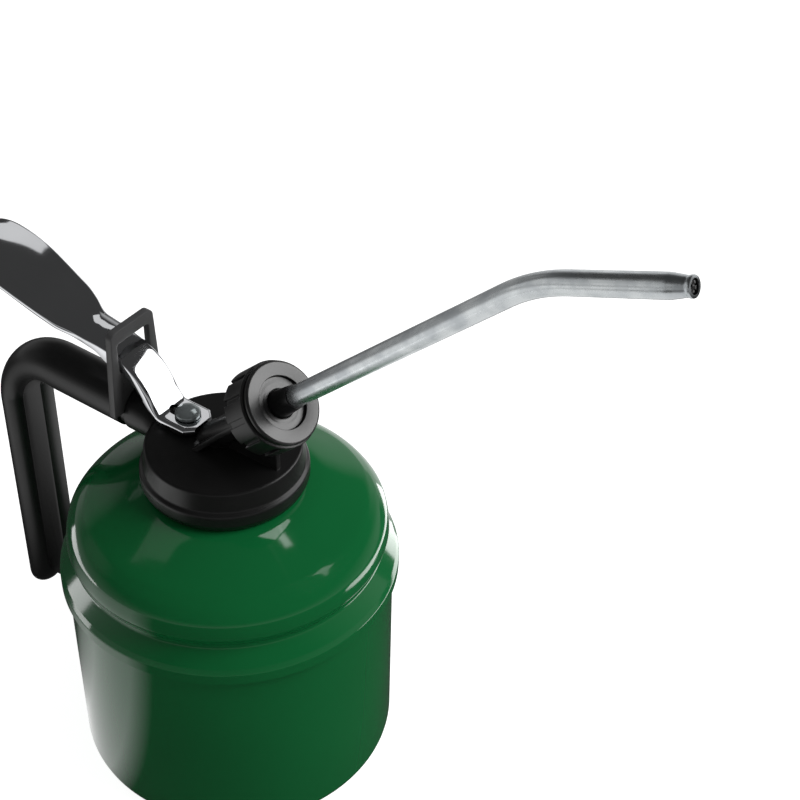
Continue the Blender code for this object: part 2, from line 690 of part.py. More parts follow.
def pump_head(parent, outlet, pump):
    """The moulded head: cap, outlet boss with its web and ribs, arm and grip, and the bores for the pump."""
    head = cap_shape(parent)
    arm = arm_shape(parent)
    neck = outlet_cylinder("boss_neck", BOSS_R, -OUTLET_LENGTH - RIB_ROOT, -NUT_LENGTH, outlet)
    clearance_r = BUSH_R + BUSH_FLANGE + 2 * GAP
    clearance = outlet_cylinder("bush_clearance", clearance_r, -CAP_DISC / 2, BUSH_CLEARANCE_RISE, pump)
    cut(arm, clearance)
    cut(neck, clearance)
    join(head, arm)
    join(head, grip_web_shape(parent))
    join(head, neck)
    join(head, outlet_cylinder("boss_thread", BOSS_END_R, -NUT_LENGTH - OVERRUN, BOSS_END, outlet))
    join(head, extruded("boss_web", web_outline(), WEB_THICKNESS, None, parent))
    join(head, rib_shape(outlet))
    low = -CAP_HEIGHT - OVERRUN
    bore = [(0, -CAP_DISC), (CAP_BORE_R, -CAP_DISC), (CAP_BORE_R, low), (0, low)]
    cut(head, revolved("cap_bore", bore, None, parent, LARGE_STEPS))
    join(head, outlet_cylinder("port_boss", PORT_R + PORT_WALL, PORT_BACK, -OUTLET_LENGTH - RIB_ROOT, outlet))
    saddle_r, half = ARM_R - BRACKET_SEAT_DEPTH, BRACKET_FOOT_HALF + OVERRUN
    seat = bracket_outline(half, half, BRACKET_FOOT - GAP, ARM_R + OVERRUN, saddle_r, OVERRUN)
    cut(head, crosswise("bracket_seat", seat, BRACKET_THICKNESS + 2 * GAP, BRACKET_X, None, parent))
    cut(head, outlet_cylinder("rod_hole", BUSH_R + GAP, -CAP_DISC - OVERRUN, OVERRUN, pump))
    cut(head, outlet_cylinder("barrel_socket", BARREL_R + GAP, -CAP_HEIGHT, SOCKET_TOP, pump))
    bore_back = BOSS_END - OUTLET_BORE_DEPTH
    cone_back = bore_back - OUTLET_CONE_DEPTH
    bore = [
        (0, PORT_BACK),
        (PORT_R, PORT_BACK),
        (PORT_R, -OUTLET_LENGTH),
        (PASSAGE_R, cone_back),
        (OUTLET_BORE_R, bore_back),
        (OUTLET_BORE_R, BOSS_END + OVERRUN),
        (0, BOSS_END + OVERRUN),
    ]
    cut(head, revolved("outlet_bore", bore, None, outlet))
    return head


def fulcrum_bracket(parent):
    """Steel stirrup seated across the arm. The lever rocks on the sill of its window."""
    inner_r = ARM_R - BRACKET_SEAT_DEPTH + GAP
    half, foot_half, foot = BRACKET_HALF, BRACKET_FOOT_HALF, BRACKET_FOOT
    outline = bracket_outline(half, foot_half, foot, BRACKET_TOP, inner_r, BRACKET_CORNER)
    steel = material("black_steel")
    plate = crosswise("fulcrum_bracket", outline, BRACKET_THICKNESS, BRACKET_X, steel, parent)
    half, low, high, corner = WINDOW_HALF, WINDOW_SILL, WINDOW_TOP, WINDOW_CORNER
    window = arc((half - corner, low + corner), corner, -QUARTER_TURN, 0, 2)
    window += arc((half - corner, high - corner), corner, 0, QUARTER_TURN, 2)
    window += arc((corner - half, high - corner), corner, QUARTER_TURN, 2 * QUARTER_TURN, 2)
    window += arc((corner - half, low + corner), corner, 2 * QUARTER_TURN, 3 * QUARTER_TURN, 2)
    cutter = crosswise("bracket_window", window, BRACKET_THICKNESS + 2 * OVERRUN, BRACKET_X, None, parent)
    cut(plate, cutter)
    return plate


def lever_stations():
    """Rows along the lever in the pivot's frame: x, height of the web's top, half-width, lip, crown."""
    tongue_z = TONGUE_RISE - WINDOW_SILL
    pump = PUMP_X - BRACKET_X
    bend = pump - TONGUE_BACK
    flat = LEVER_SHEET + GAP
    front = pump + TONGUE_REACH
    rows = [
        (front, tongue_z, TONGUE_HALF - TONGUE_CHAMFER, flat, 0),
        (front - TONGUE_CHAMFER, tongue_z, TONGUE_HALF, flat, 0),
        (pump, tongue_z, TONGUE_HALF, flat, 0),
    ]
    web_z = LEVER_WEB_RISE - WINDOW_SILL
    back_crown = LEVER_REAR_SHARES[0][4] * LEVER_CROWN
    for along, up, lip in LEVER_FRONT_SHARES:
        half = TONGUE_HALF + (LEVER_HALF - TONGUE_HALF) * along
        height = tongue_z + (web_z - tongue_z) * up
        rows.append((bend * (1 - along), height, half, LEVER_LIP * lip, back_crown * up))
    narrow = LEVER_REAR_SHARES[0][2]
    for along, up, wide, lip, crown in LEVER_REAR_SHARES:
        spread = max(wide - narrow, NARROWEST_SHARE) / (1 - narrow)
        half = LEVER_HALF + (THUMB_HALF - LEVER_HALF) * spread
        height = web_z + LEVER_REAR_RISE * up
        rows.append((-LEVER_REAR * along, height, half, LEVER_LIP * lip, LEVER_CROWN * crown))
    return rows


def channel_loop(half, lip, crown):
    """Across the lever, (y, height below the web's top): one lip, the crowned web, the other lip."""
    sheet, corner = LEVER_SHEET, LEVER_CORNER
    bevel = corner * CORNER_SHARE
    outer = [(-half, -lip), (-half, -crown - corner), (-half + bevel, -crown - bevel)]
    outer += [(half * share, -crown * drop) for share, drop in WEB_CROWN_SHARES]
    outer += [(half - bevel, -crown - bevel), (half, -crown - corner), (half, -lip)]
    inner_half = half - sheet
    depth = min(crown + sheet, lip - GAP)
    root = -depth - (lip - GAP - depth) * INNER_LIP_SHARE
    inner = [(inner_half, -lip), (inner_half, root)]
    for share, drop in reversed(WEB_CROWN_SHARES):
        inner.append((inner_half * share, -sheet - (depth - sheet) * drop))
    inner += [(-inner_half, root), (-inner_half, -lip)]
    return outer + inner


def lever(parent):
    """Chrome-plated pressed lever with its slotted tongue."""
    stations = lever_stations()
    loops = []
    for index, (x, z, half, lip, crown) in enumerate(stations):
        before = stations[max(index - 1, 0)]
        after = stations[min(index + 1, len(stations) - 1)]
        along = Vector((after[0] - before[0], 0, after[1] - before[1])).normalized()
        up = Vector((along.z, 0, -along.x))
        section = channel_loop(half, lip, crown)
        loops.append([Vector((x, y, z)) + up * height for y, height in section])
    pressed = lofted("lever", loops, material("chrome"), parent)
    pump = PUMP_X - BRACKET_X
    slot = arc((pump, 0), SLOT_HALF, -QUARTER_TURN, QUARTER_TURN, 6)
    slot += arc((pump - SLOT_BACK + SLOT_HALF, 0), SLOT_HALF, QUARTER_TURN, 3 * QUARTER_TURN, 6)
    tongue_z = TONGUE_RISE - WINDOW_SILL
    low, high = tongue_z - LEVER_SHEET - OVERRUN, tongue_z + OVERRUN
    cutter = lofted("lever_slot", [[(x, y, z) for x, y in slot] for z in (low, high)], None, parent)
    cut(pressed, cutter)
    notch = [
        (-NOTCH_MOUTH_HALF, -NOTCH_DEPTH - OVERRUN),
        (NOTCH_MOUTH_HALF, -NOTCH_DEPTH - OVERRUN),
        (NOTCH_MOUTH_HALF, -NOTCH_DEPTH),
        (NOTCH_HALF, ROCK_GAP),
        (-NOTCH_HALF, ROCK_GAP),
        (-NOTCH_MOUTH_HALF, -NOTCH_DEPTH),
    ]
    cut(pressed, extruded("fulcrum_notch", notch, 2 * (LEVER_HALF + OVERRUN), None, parent))
    return pressed


def lever_screw(parent):
    """Smooth dome-head screw that hangs the rod on the tongue."""
    base = TONGUE_RISE + GAP
    rise = arc((0, 0), SCREW_HEAD_R, 0, QUARTER_TURN, 6)
    low, steepness = base + SCREW_RIM, (SCREW_HEAD_HEIGHT - SCREW_RIM) / SCREW_HEAD_R
    dome = [(x, low + z * steepness) for x, z in rise[:-1]]
    shank, end = ROD_SPIGOT_R, base - SCREW_LENGTH
    head = [(0, base + SCREW_HEAD_HEIGHT), *dome[::-1], (SCREW_HEAD_R, base)]
    profile = [*head, (shank, base), (shank, end), (0, end)]
    return revolved("lever_screw", profile, material("zinc"), parent, SMALL_STEPS)


def piston_rod(parent):
    """Rod with a tapped hole for the screw at its top and a spigot for the piston at its foot."""
    bore_r = ROD_SPIGOT_R + GAP
    bore_end = TONGUE_RISE + GAP - SCREW_LENGTH - GAP
    foot = PISTON_NUT_BOTTOM
    return revolved(
        "piston_rod",
        [
            (0, foot),
            (ROD_SPIGOT_R, foot),
            (ROD_SPIGOT_R, ROD_SHOULDER),
            (ROD_R, ROD_SHOULDER),
            (ROD_R, ROD_COLLAR_BOTTOM),
            (COLLAR_ON_ROD_R, ROD_COLLAR_BOTTOM),
            (COLLAR_ON_ROD_R, ROD_COLLAR_TOP),
            (ROD_R, ROD_COLLAR_TOP),
            (ROD_R, ROD_TOP),
            (bore_r, ROD_TOP),
            (bore_r, bore_end),
            (0, bore_end),
        ],
        material("steel"),
        parent,
        SMALL_STEPS,
    )


def tube_ring(name, inner, outer, bottom, top, finish_material, parent, steps=SMALL_STEPS):
    """A plain tube or ring round Z."""
    profile = [(inner, top), (outer, top), (outer, bottom), (inner, bottom)]
    return revolved(name, profile, finish_material, parent, steps)


def pump_parts(head_pump, rod, outlet):
    """Everything on the pump's axis: what stands still with the head, and what the rod lifts."""
    bush_inner = ROD_R + GAP
    tail_r = bush_inner + BUSH_TAIL_WALL
    guide_low = BARREL_TOP - BUSH_GUIDE
    revolved(
        "rod_bush",
        [
            (bush_inner, GAP + BUSH_FLANGE_HEIGHT),
            (BUSH_R + BUSH_FLANGE, GAP + BUSH_FLANGE_HEIGHT),
            (BUSH_R + BUSH_FLANGE, GAP),
            (BUSH_R, GAP),
            (BUSH_R, SOCKET_TOP),
            (BARREL_BORE_R - GAP, SOCKET_TOP),
            (BARREL_BORE_R - GAP, guide_low),
            (tail_r, guide_low),
            (tail_r, BUSH_BOTTOM),
            (bush_inner, BUSH_BOTTOM),
        ],
        material("black_plastic"),
        head_pump,
        SMALL_STEPS,
    )
    ring = arc((SPRING_R, ROD_SEAL_Z), ROD_SEAL_SECTION_R, 0, FULL_TURN, 8)[:-1]
    revolved("rod_seal", ring, material("rubber"), head_pump, SMALL_STEPS)
    low, outer, steel = WASHER_TOP - WASHER_THICKNESS, BARREL_BORE_R - GAP, material("steel")
    tube_ring("spring_washer", ROD_R + GAP, outer, low, WASHER_TOP, steel, head_pump)
    brass = material("brass")
    barrel = tube_ring("pump_barrel", BARREL_BORE_R, BARREL_R, BARREL_BOTTOM, BARREL_TOP, brass, head_pump)
    cut(barrel, outlet_cylinder("barrel_port", PORT_R, PORT_BACK, PORT_FRONT, outlet))
    coil("return_spring", SPRING_R, SPRING_WIRE_R, SPRING_BOTTOM, SPRING_TOP, SPRING_TURNS, steel, head_pump)
    on_rod = ROD_SPIGOT_R + GAP
    piston_top = PISTON_BOTTOM + PISTON_HEIGHT
    tube_ring("piston", on_rod, PISTON_R, PISTON_BOTTOM, piston_top, brass, rod)
    cup_top = CUP_BOTTOM + CUP_HEIGHT
    revolved(
        "piston_cup",
        [
            (on_rod, CUP_BOTTOM + CUP_WALL),
            (PISTON_R - CUP_WALL, CUP_BOTTOM + CUP_WALL),
            (PISTON_R - CUP_WALL, cup_top),
            (PISTON_R, cup_top),
            (PISTON_R, CUP_BOTTOM),
            (on_rod, CUP_BOTTOM),
        ],
        material("rubber"),
        rod,
        SMALL_STEPS,
    )
    nut_top = PISTON_NUT_BOTTOM + PISTON_NUT_HEIGHT
    hex_nut("piston_nut", on_rod, PISTON_NUT_R, PISTON_NUT_BOTTOM, nut_top, rod)


def hex_nut(name, bore_r, corner_r, bottom, top, parent, steps=24):
    """A six-sided nut with a round bore."""
    sixth = FULL_TURN / 6
    hexagon, circle = [], []
    for index in range(steps):
        angle = FULL_TURN * index / steps
        radius = corner_r * math.cos(sixth / 2) / math.cos(angle % sixth - sixth / 2)
        hexagon.append((radius * math.cos(angle), radius * math.sin(angle)))
        circle.append((bore_r * math.cos(angle), bore_r * math.sin(angle)))
    rings = ((hexagon, bottom), (hexagon, top), (circle, top), (circle, bottom))
    loops = [[(x, y, height) for x, y in outline] for outline, height in rings]
    return lofted(name, loops, material("steel"), parent, ring=True)


def foot_valve(head_pump):
    """Plug with the ball's seat, which also holds the suction tube and its strainer."""
    shoulder = BARREL_BOTTOM - GAP
    plug_r = BARREL_BORE_R - GAP
    low = shoulder - FOOT_COLLAR_HEIGHT
    pocket = FOOT_PLUG_TOP - FOOT_POCKET_DEPTH
    cone = pocket - FOOT_CONE_DEPTH
    socket_r = SUCTION_R + GAP
    socket_top = low + SUCTION_SOCKET
    revolved(
        "foot_valve",
        [
            (FOOT_POCKET_R, FOOT_PLUG_TOP),
            (plug_r, FOOT_PLUG_TOP),
            (plug_r, shoulder),
            (BARREL_R, shoulder),
            (BARREL_R, low),
            (socket_r, low),
            (socket_r, socket_top),
            (FOOT_BORE_R, socket_top),
            (FOOT_BORE_R, cone),
            (FOOT_POCKET_R, pocket),
        ],
        material("brass"),
        head_pump,
        SMALL_STEPS,
    )
    ball_z = cone + ball_height(FOOT_BALL_R, FOOT_BORE_R, FOOT_POCKET_R, FOOT_CONE_DEPTH)
    ball("foot_ball", FOOT_BALL_R, ball_z, head_pump)
    strainer_low = STRAINER_BOTTOM_Z - TOP_Z
    tube_low = strainer_low + STRAINER_FLOOR + STRAINER_CLEARANCE
    clear = material("clear_plastic")
    tube_ring("suction_tube", SUCTION_R - SUCTION_WALL, SUCTION_R, tube_low, SUCTION_TOP, clear, head_pump)
    strainer(strainer_low, head_pump)


def strainer(low, parent):
    """Cup that grips the suction tube, open through a row of side slots."""
    top = low + STRAINER_HEIGHT
    grip_r = SUCTION_R + GAP
    inner_r = STRAINER_R - STRAINER_FLOOR
    collar = top - STRAINER_COLLAR_HEIGHT
    outside = [(grip_r, top), (grip_r + SHEET, top), (STRAINER_R, collar), (STRAINER_R, low), (0, low)]
    inside = [(0, low + STRAINER_FLOOR), (inner_r, low + STRAINER_FLOOR), (inner_r, collar), (grip_r, collar)]
    inside += [(grip_r, top - SHEET)]
    cup = revolved_cup("suction_strainer", outside, inside, material("brass"), SMALL_STEPS, parent)
    slot_low = low + 2 * STRAINER_FLOOR
    slot_high = collar - STRAINER_FLOOR
    reach = STRAINER_R + OVERRUN
    outline = [(-reach, slot_low), (reach, slot_low), (reach, slot_high), (-reach, slot_high)]
    for turn in range(3):
        cutter = extruded(f"strainer_slot_{turn}", outline, STRAINER_FLOOR, None, parent)
        cutter.rotation_euler = (0, 0, turn * FULL_TURN / 6)
        cut(cup, cutter)
    return cup


def ball(name, radius, height, parent):
    """A valve ball, with its origin at its centre."""
    bm = bmesh.new()
    bmesh.ops.create_icosphere(bm, subdivisions=2, radius=radius)
    made = finish(name, bm, material("steel"), parent)
    made.location = (0, 0, height)
    return made


def union_nut(parent):
    """Union nut with a thin front flange and grip lugs along its body, as stacked rings of points."""
    rings = [
        (-NUT_FRONT_WALL, NIPPLE_R + GAP, 0),
        (-NUT_RECESS, NIPPLE_R + GAP, 0),
        (-NUT_RECESS, NUT_RECESS_R, 0),
        (-NUT_DISH, NUT_RECESS_R, 0),
        (0, NUT_FACE_R, 0),
        (-NUT_DISH, NUT_FLANGE_R, 0),
        (-NUT_FLANGE, NUT_FLANGE_R, 0),
        (-NUT_FLANGE, NUT_FLANGE_R - NUT_NECK, 0),
        (-NUT_FLANGE - NUT_NECK, NUT_FLANGE_R - NUT_NECK, 0),
        (-NUT_FLANGE - NUT_NECK - GAP, NUT_R, NUT_LUG_HEIGHT),
        (-NUT_LENGTH + GAP, NUT_R, NUT_LUG_HEIGHT),
        (-NUT_LENGTH, NUT_R - GAP, NUT_LUG_HEIGHT - GAP),
        (-NUT_LENGTH, THREAD_R + GAP, 0),
        (-NUT_FRONT_WALL, THREAD_R + GAP, 0),
    ]
    pitch = FULL_TURN / NUT_LUGS
    loops = []
    for height, radius, depth in rings:
        loop = []
        for lug in range(NUT_LUGS):
            for share in NUT_LUG_SHARES:
                angle = pitch * (lug + share * (1 - NUT_GROOVE_SHARE))
                loop.append((radius * math.cos(angle), radius * math.sin(angle), height))
            for share in NUT_FLOOR_SHARES:
                angle = pitch * (lug + 1 - NUT_GROOVE_SHARE + share * NUT_GROOVE_SHARE)
                floor = radius - depth
                loop.append((floor * math.cos(angle), floor * math.sin(angle), height))
        loops.append(loop)
    return lofted("union_nut", loops, material("black_plastic"), parent, ring=True)


def spout_parts(outlet):
    """Gasket, nipple, bent tube and nozzle on the outlet's axis, and the outlet's ball and its stop."""
    low, high = SPOUT_GASKET_BACK, SPOUT_GASKET_FRONT
    tube_ring("spout_gasket", OUTLET_BORE_R, FLANGE_R, low, high, material("rubber"), outlet, MEDIUM_STEPS)
    bore = TUBE_R + GAP
    revolved(
        "spout_nipple",
        [
            (bore, NIPPLE_REACH),
            (NIPPLE_END_R, NIPPLE_REACH),
            (NIPPLE_R, -NUT_RECESS),
            (NIPPLE_R, NIPPLE_FRONT),
            (FLANGE_R, NIPPLE_FRONT),
            (FLANGE_R, NIPPLE_BACK),
            (bore, NIPPLE_BACK),
        ],
        material("black_plastic"),
        outlet,
    )
    spout_tube(outlet)
    bore_back = BOSS_END - OUTLET_BORE_DEPTH
    cone_back = bore_back - OUTLET_CONE_DEPTH
    ball_z = cone_back + ball_height(OUTLET_BALL_R, PASSAGE_R, OUTLET_BORE_R, OUTLET_CONE_DEPTH)
    ball("outlet_ball", OUTLET_BALL_R, ball_z, outlet)
    stop_top = BOSS_END - GAP
    stop_low, stop_r = stop_top - OUTLET_STOP, OUTLET_BORE_R - GAP
    tube_ring("outlet_stop", PASSAGE_R, stop_r, stop_low, stop_top, material("brass"), outlet)


def tube_path():
    """Rows along the tube's middle line in the outlet's frame: place, direction, outer and inner radius."""
    tangent = TUBE_BEND_R * math.tan(TUBE_BEND / 2)
    start = NIPPLE_BACK
    bend_from = TUBE_FIRST - tangent
    rows = [
        (0, start, 0, TUBE_R - TUBE_INLET_ROUND / 2),
        (0, start + TUBE_INLET_ROUND, 0, TUBE_R),
        (0, bend_from, 0, TUBE_R),
    ]
    for step in range(1, TUBE_BEND_STEPS + 1):
        angle = TUBE_BEND * step / TUBE_BEND_STEPS
        x = TUBE_BEND_R * (1 - math.cos(angle))
        rows.append((x, bend_from + TUBE_BEND_R * math.sin(angle), angle, TUBE_R))
    direction = Vector((math.sin(TUBE_BEND), math.cos(TUBE_BEND)))
    corner = Vector((0, TUBE_FIRST))
    for before_end, radius in (
        (TIP_TAPER, TUBE_R),
        (TIP_RING_START, TIP_R),
        (TIP_RING, TIP_RING_R),
        (0, TIP_RING_R),
    ):
        place = corner + direction * (TUBE_SECOND - before_end)
        rows.append((place.x, place.y, TUBE_BEND, radius))
    return rows


def spout_tube(outlet):
    """Bent zinc-plated tube with its bore, tapered and ringed at the tip."""
    rows = tube_path()
    tip_bore = TIP_R - TIP_WALL
    inner = [
        (x, z, angle, TUBE_R - TUBE_WALL if radius >= TUBE_R else tip_bore)
        for x, z, angle, radius in rows[1:-3] + rows[-1:]
    ]
    first = rows[0]
    inner = [(first[0], first[1], first[2], TUBE_R - TUBE_WALL)] + inner[1:]
    loops = []
    for x, z, angle, radius in rows + inner[::-1]:
        side = Vector((math.cos(angle), 0, -math.sin(angle)))
        loop = []
        for index in range(SMALL_STEPS):
            turn = FULL_TURN * index / SMALL_STEPS
            centre = Vector((x, radius * math.sin(turn), z))
            loop.append(centre + side * radius * math.cos(turn))
        loops.append(loop)
    lofted("spout_tube", loops, material("zinc"), outlet, ring=True)
    inner, outer = NOZZLE_HOLE_R, tip_bore - GAP
    nozzle = tube_ring(
        "spout_nozzle", inner, outer, -NOZZLE_LENGTH, -NOZZLE_RECESS, material("steel"), outlet, NOZZLE_STEPS
    )
    tip = rows[-1]
    nozzle.location = (tip[0], 0, tip[1])
    nozzle.rotation_euler = (0, TUBE_BEND, 0)


def main():
    """Builds the whole oil can."""
    for left_over in list(bpy.data.objects):
        bpy.data.objects.remove(left_over, do_unlink=True)
    head = empty("head_frame", (0, 0, TOP_Z))
    pump = empty("pump_frame", (PUMP_X, 0, TOP_Z))
    rod = empty("rod_frame", (PUMP_X, 0, TOP_Z))
    outlet = empty("outlet_frame", OUTLET_POINT, QUARTER_TURN - OUTLET_ANGLE)
    pivot = empty("pivot_frame", PIVOT)
    can_dome()
    can_body()
    neck_collar()
    cap_gasket(head)
    pump_head(head, outlet, pump)
    fulcrum_bracket(head)
    lever(pivot)
    lever_screw(rod)
    piston_rod(rod)
    pump_parts(pump, rod, outlet)
    foot_valve(pump)
    union_nut(outlet)
    spout_parts(outlet)


main()
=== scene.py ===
"""Looks of a lever-operated pump oil can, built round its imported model.

Metres, +Z up. The origin is the centre of the can's flat base, the spout points to +X and the grip to -X.
Each sub-assembly is a class that models its pieces with Blender's operators and dresses them.
"""

from __future__ import annotations

import json
import logging
import math
from collections.abc import Iterator, Sequence
from contextlib import contextmanager
from dataclasses import dataclass, replace
from enum import Enum

import bmesh
import bpy
from mathutils import Matrix, Vector

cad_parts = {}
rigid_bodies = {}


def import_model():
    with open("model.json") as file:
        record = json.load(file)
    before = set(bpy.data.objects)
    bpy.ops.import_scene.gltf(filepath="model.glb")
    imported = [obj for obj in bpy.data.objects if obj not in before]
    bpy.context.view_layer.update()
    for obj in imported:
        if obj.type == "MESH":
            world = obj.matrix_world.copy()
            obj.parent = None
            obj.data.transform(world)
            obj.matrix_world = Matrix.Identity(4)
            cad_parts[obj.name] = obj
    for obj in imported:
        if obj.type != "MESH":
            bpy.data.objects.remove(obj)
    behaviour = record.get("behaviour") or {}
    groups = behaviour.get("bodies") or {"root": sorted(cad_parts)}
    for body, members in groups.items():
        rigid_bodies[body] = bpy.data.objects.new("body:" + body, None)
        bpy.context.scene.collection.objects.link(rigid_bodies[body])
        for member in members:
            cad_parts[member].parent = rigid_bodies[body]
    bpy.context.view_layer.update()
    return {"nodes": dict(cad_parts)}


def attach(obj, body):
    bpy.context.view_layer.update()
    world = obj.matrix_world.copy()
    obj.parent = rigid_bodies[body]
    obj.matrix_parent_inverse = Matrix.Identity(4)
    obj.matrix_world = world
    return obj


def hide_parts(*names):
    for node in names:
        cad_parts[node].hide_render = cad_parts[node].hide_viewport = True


LOG = logging.getLogger("oil_can")

MM = 0.001
DEGREE = math.pi / 180
FULL_TURN = 2 * math.pi
HALF_TURN = math.pi
QUARTER_TURN = math.pi / 2
# Half the angle of a corner that is left as it is, and the most of a side that one fillet takes
NEARLY_STRAIGHT = QUARTER_TURN - 1 * DEGREE
SIDE_SHARE = 0.49
# Points closer than this are merged, edges sharper than the first angle are bevelled, and edges
# sharper than the second are shaded sharp
WELD = 0.002 * MM
BEVEL_ANGLE = 50 * DEGREE
SHADE_ANGLE = 35 * DEGREE
# Steps of a full turn: of turned bars and rings, and of swept bars and small holes
FINE_STEPS = 96
ROUND_STEPS = 64
# The Mix node's sockets for colours
MIX_FIRST, MIX_SECOND, MIX_RESULT = 6, 7, 2

Point2 = tuple[float, float]
Colour = tuple[float, float, float]
Solid = bpy.types.Object
Socket = bpy.types.NodeSocket


class Operation(Enum):
    """How one solid changes another."""

    JOIN = "UNION"
    CUT = "DIFFERENCE"


@dataclass(frozen=True)
class Corner:
    """A corner of a turned profile, with the radius that rounds it."""

    radius: float
    height: float
    fillet: float = 0.0


def arc_points(centre: Point2, radius: float, start: float, end: float, steps: int) -> list[Point2]:
    """Points on a circle in a plane, both ends included.

    Args:
        centre: The circle's centre.
        radius: The circle's radius.
        start: The first angle in radians.
        end: The last angle in radians.
        steps: How many chords lie between them.

    Returns:
        The points in order.
    """
    angles = [start + (end - start) * step / steps for step in range(steps + 1)]
    return [(centre[0] + radius * math.cos(turn), centre[1] + radius * math.sin(turn)) for turn in angles]


def rounded(corners: Sequence[Corner], steps: int) -> list[Point2]:
    """Turns corners with fillets into points.

    Args:
        corners: The profile's corners in order; its two ends aren't rounded.
        steps: How many chords make up one fillet.

    Returns:
        The profile's points as (radius, height).
    """
    points = [(corners[0].radius, corners[0].height)]
    for before, corner, after in zip(corners, corners[1:], corners[2:]):
        here = Vector((corner.radius, corner.height))
        back = Vector((before.radius, before.height)) - here
        ahead = Vector((after.radius, after.height)) - here
        half_angle = back.angle(ahead) / 2
        if corner.fillet <= 0 or half_angle > NEARLY_STRAIGHT:
            points.append(tuple(here))
            continue
        reach = min(corner.fillet / math.tan(half_angle), SIDE_SHARE * back.length, SIDE_SHARE * ahead.length)
        start, end = here + back.normalized() * reach, here + ahead.normalized() * reach
        for step in range(steps + 1):
            share = step / steps
            points.append(tuple(start * (1 - share) ** 2 + here * 2 * share * (1 - share) + end * share**2))
    points.append((corners[-1].radius, corners[-1].height))
    return points


def between(before: float, start: float, end: float, after: float, share: float) -> float:
    """A smooth curve's value at a share of the way between the two middle ones of four values.

    Args:
        before: The value before the start.
        start: The value that the share 0 gives.
        end: The value that the share 1 gives.
        after: The value after the end.
        share: The share of the way from start to end.

    Returns:
        The value there.
    """
    slope, bend = end - before, 2 * before - 5 * start + 4 * end - after
    twist = 3 * start - before - 3 * end + after
    return 0.5 * (2 * start + slope * share + bend * share**2 + twist * share**3)


def flowing(rows: Sequence[Sequence[float]], steps: int) -> list[tuple[float, ...]]:
    """A smooth curve through rows of values.

    Args:
        rows: The rows that the curve passes through.
        steps: How many rows there are from one given row to the next.

    Returns:
        The finer rows, with the given ones among them.
    """
    ahead = tuple(2 * first - second for first, second in zip(rows[0], rows[1]))
    beyond = tuple(2 * last - before for last, before in zip(rows[-1], rows[-2]))
    given = [ahead, *rows, beyond]
    finer = []
    for four in zip(given, given[1:], given[2:], given[3:]):
        for step in range(steps):
            finer.append(tuple(between(*values, step / steps) for values in zip(*four)))
    return [*finer, tuple(rows[-1])]


def oval(middle: Vector, outward: Vector, deep: float, wide: float) -> list[Vector]:
    """Points round a bar, with one half-axis along a direction and the other along Y.

    Args:
        middle: Where the bar's axis is.
        outward: The direction of the first half-axis.
        deep: The length of the first half-axis.
        wide: The length of the half-axis along Y.

    Returns:
        The points in order.
    """
    return [
        middle + outward * deep * math.cos(turn) + Vector((0, wide * math.sin(turn), 0))
        for turn in (FULL_TURN * index / ROUND_STEPS for index in range(ROUND_STEPS))
    ]


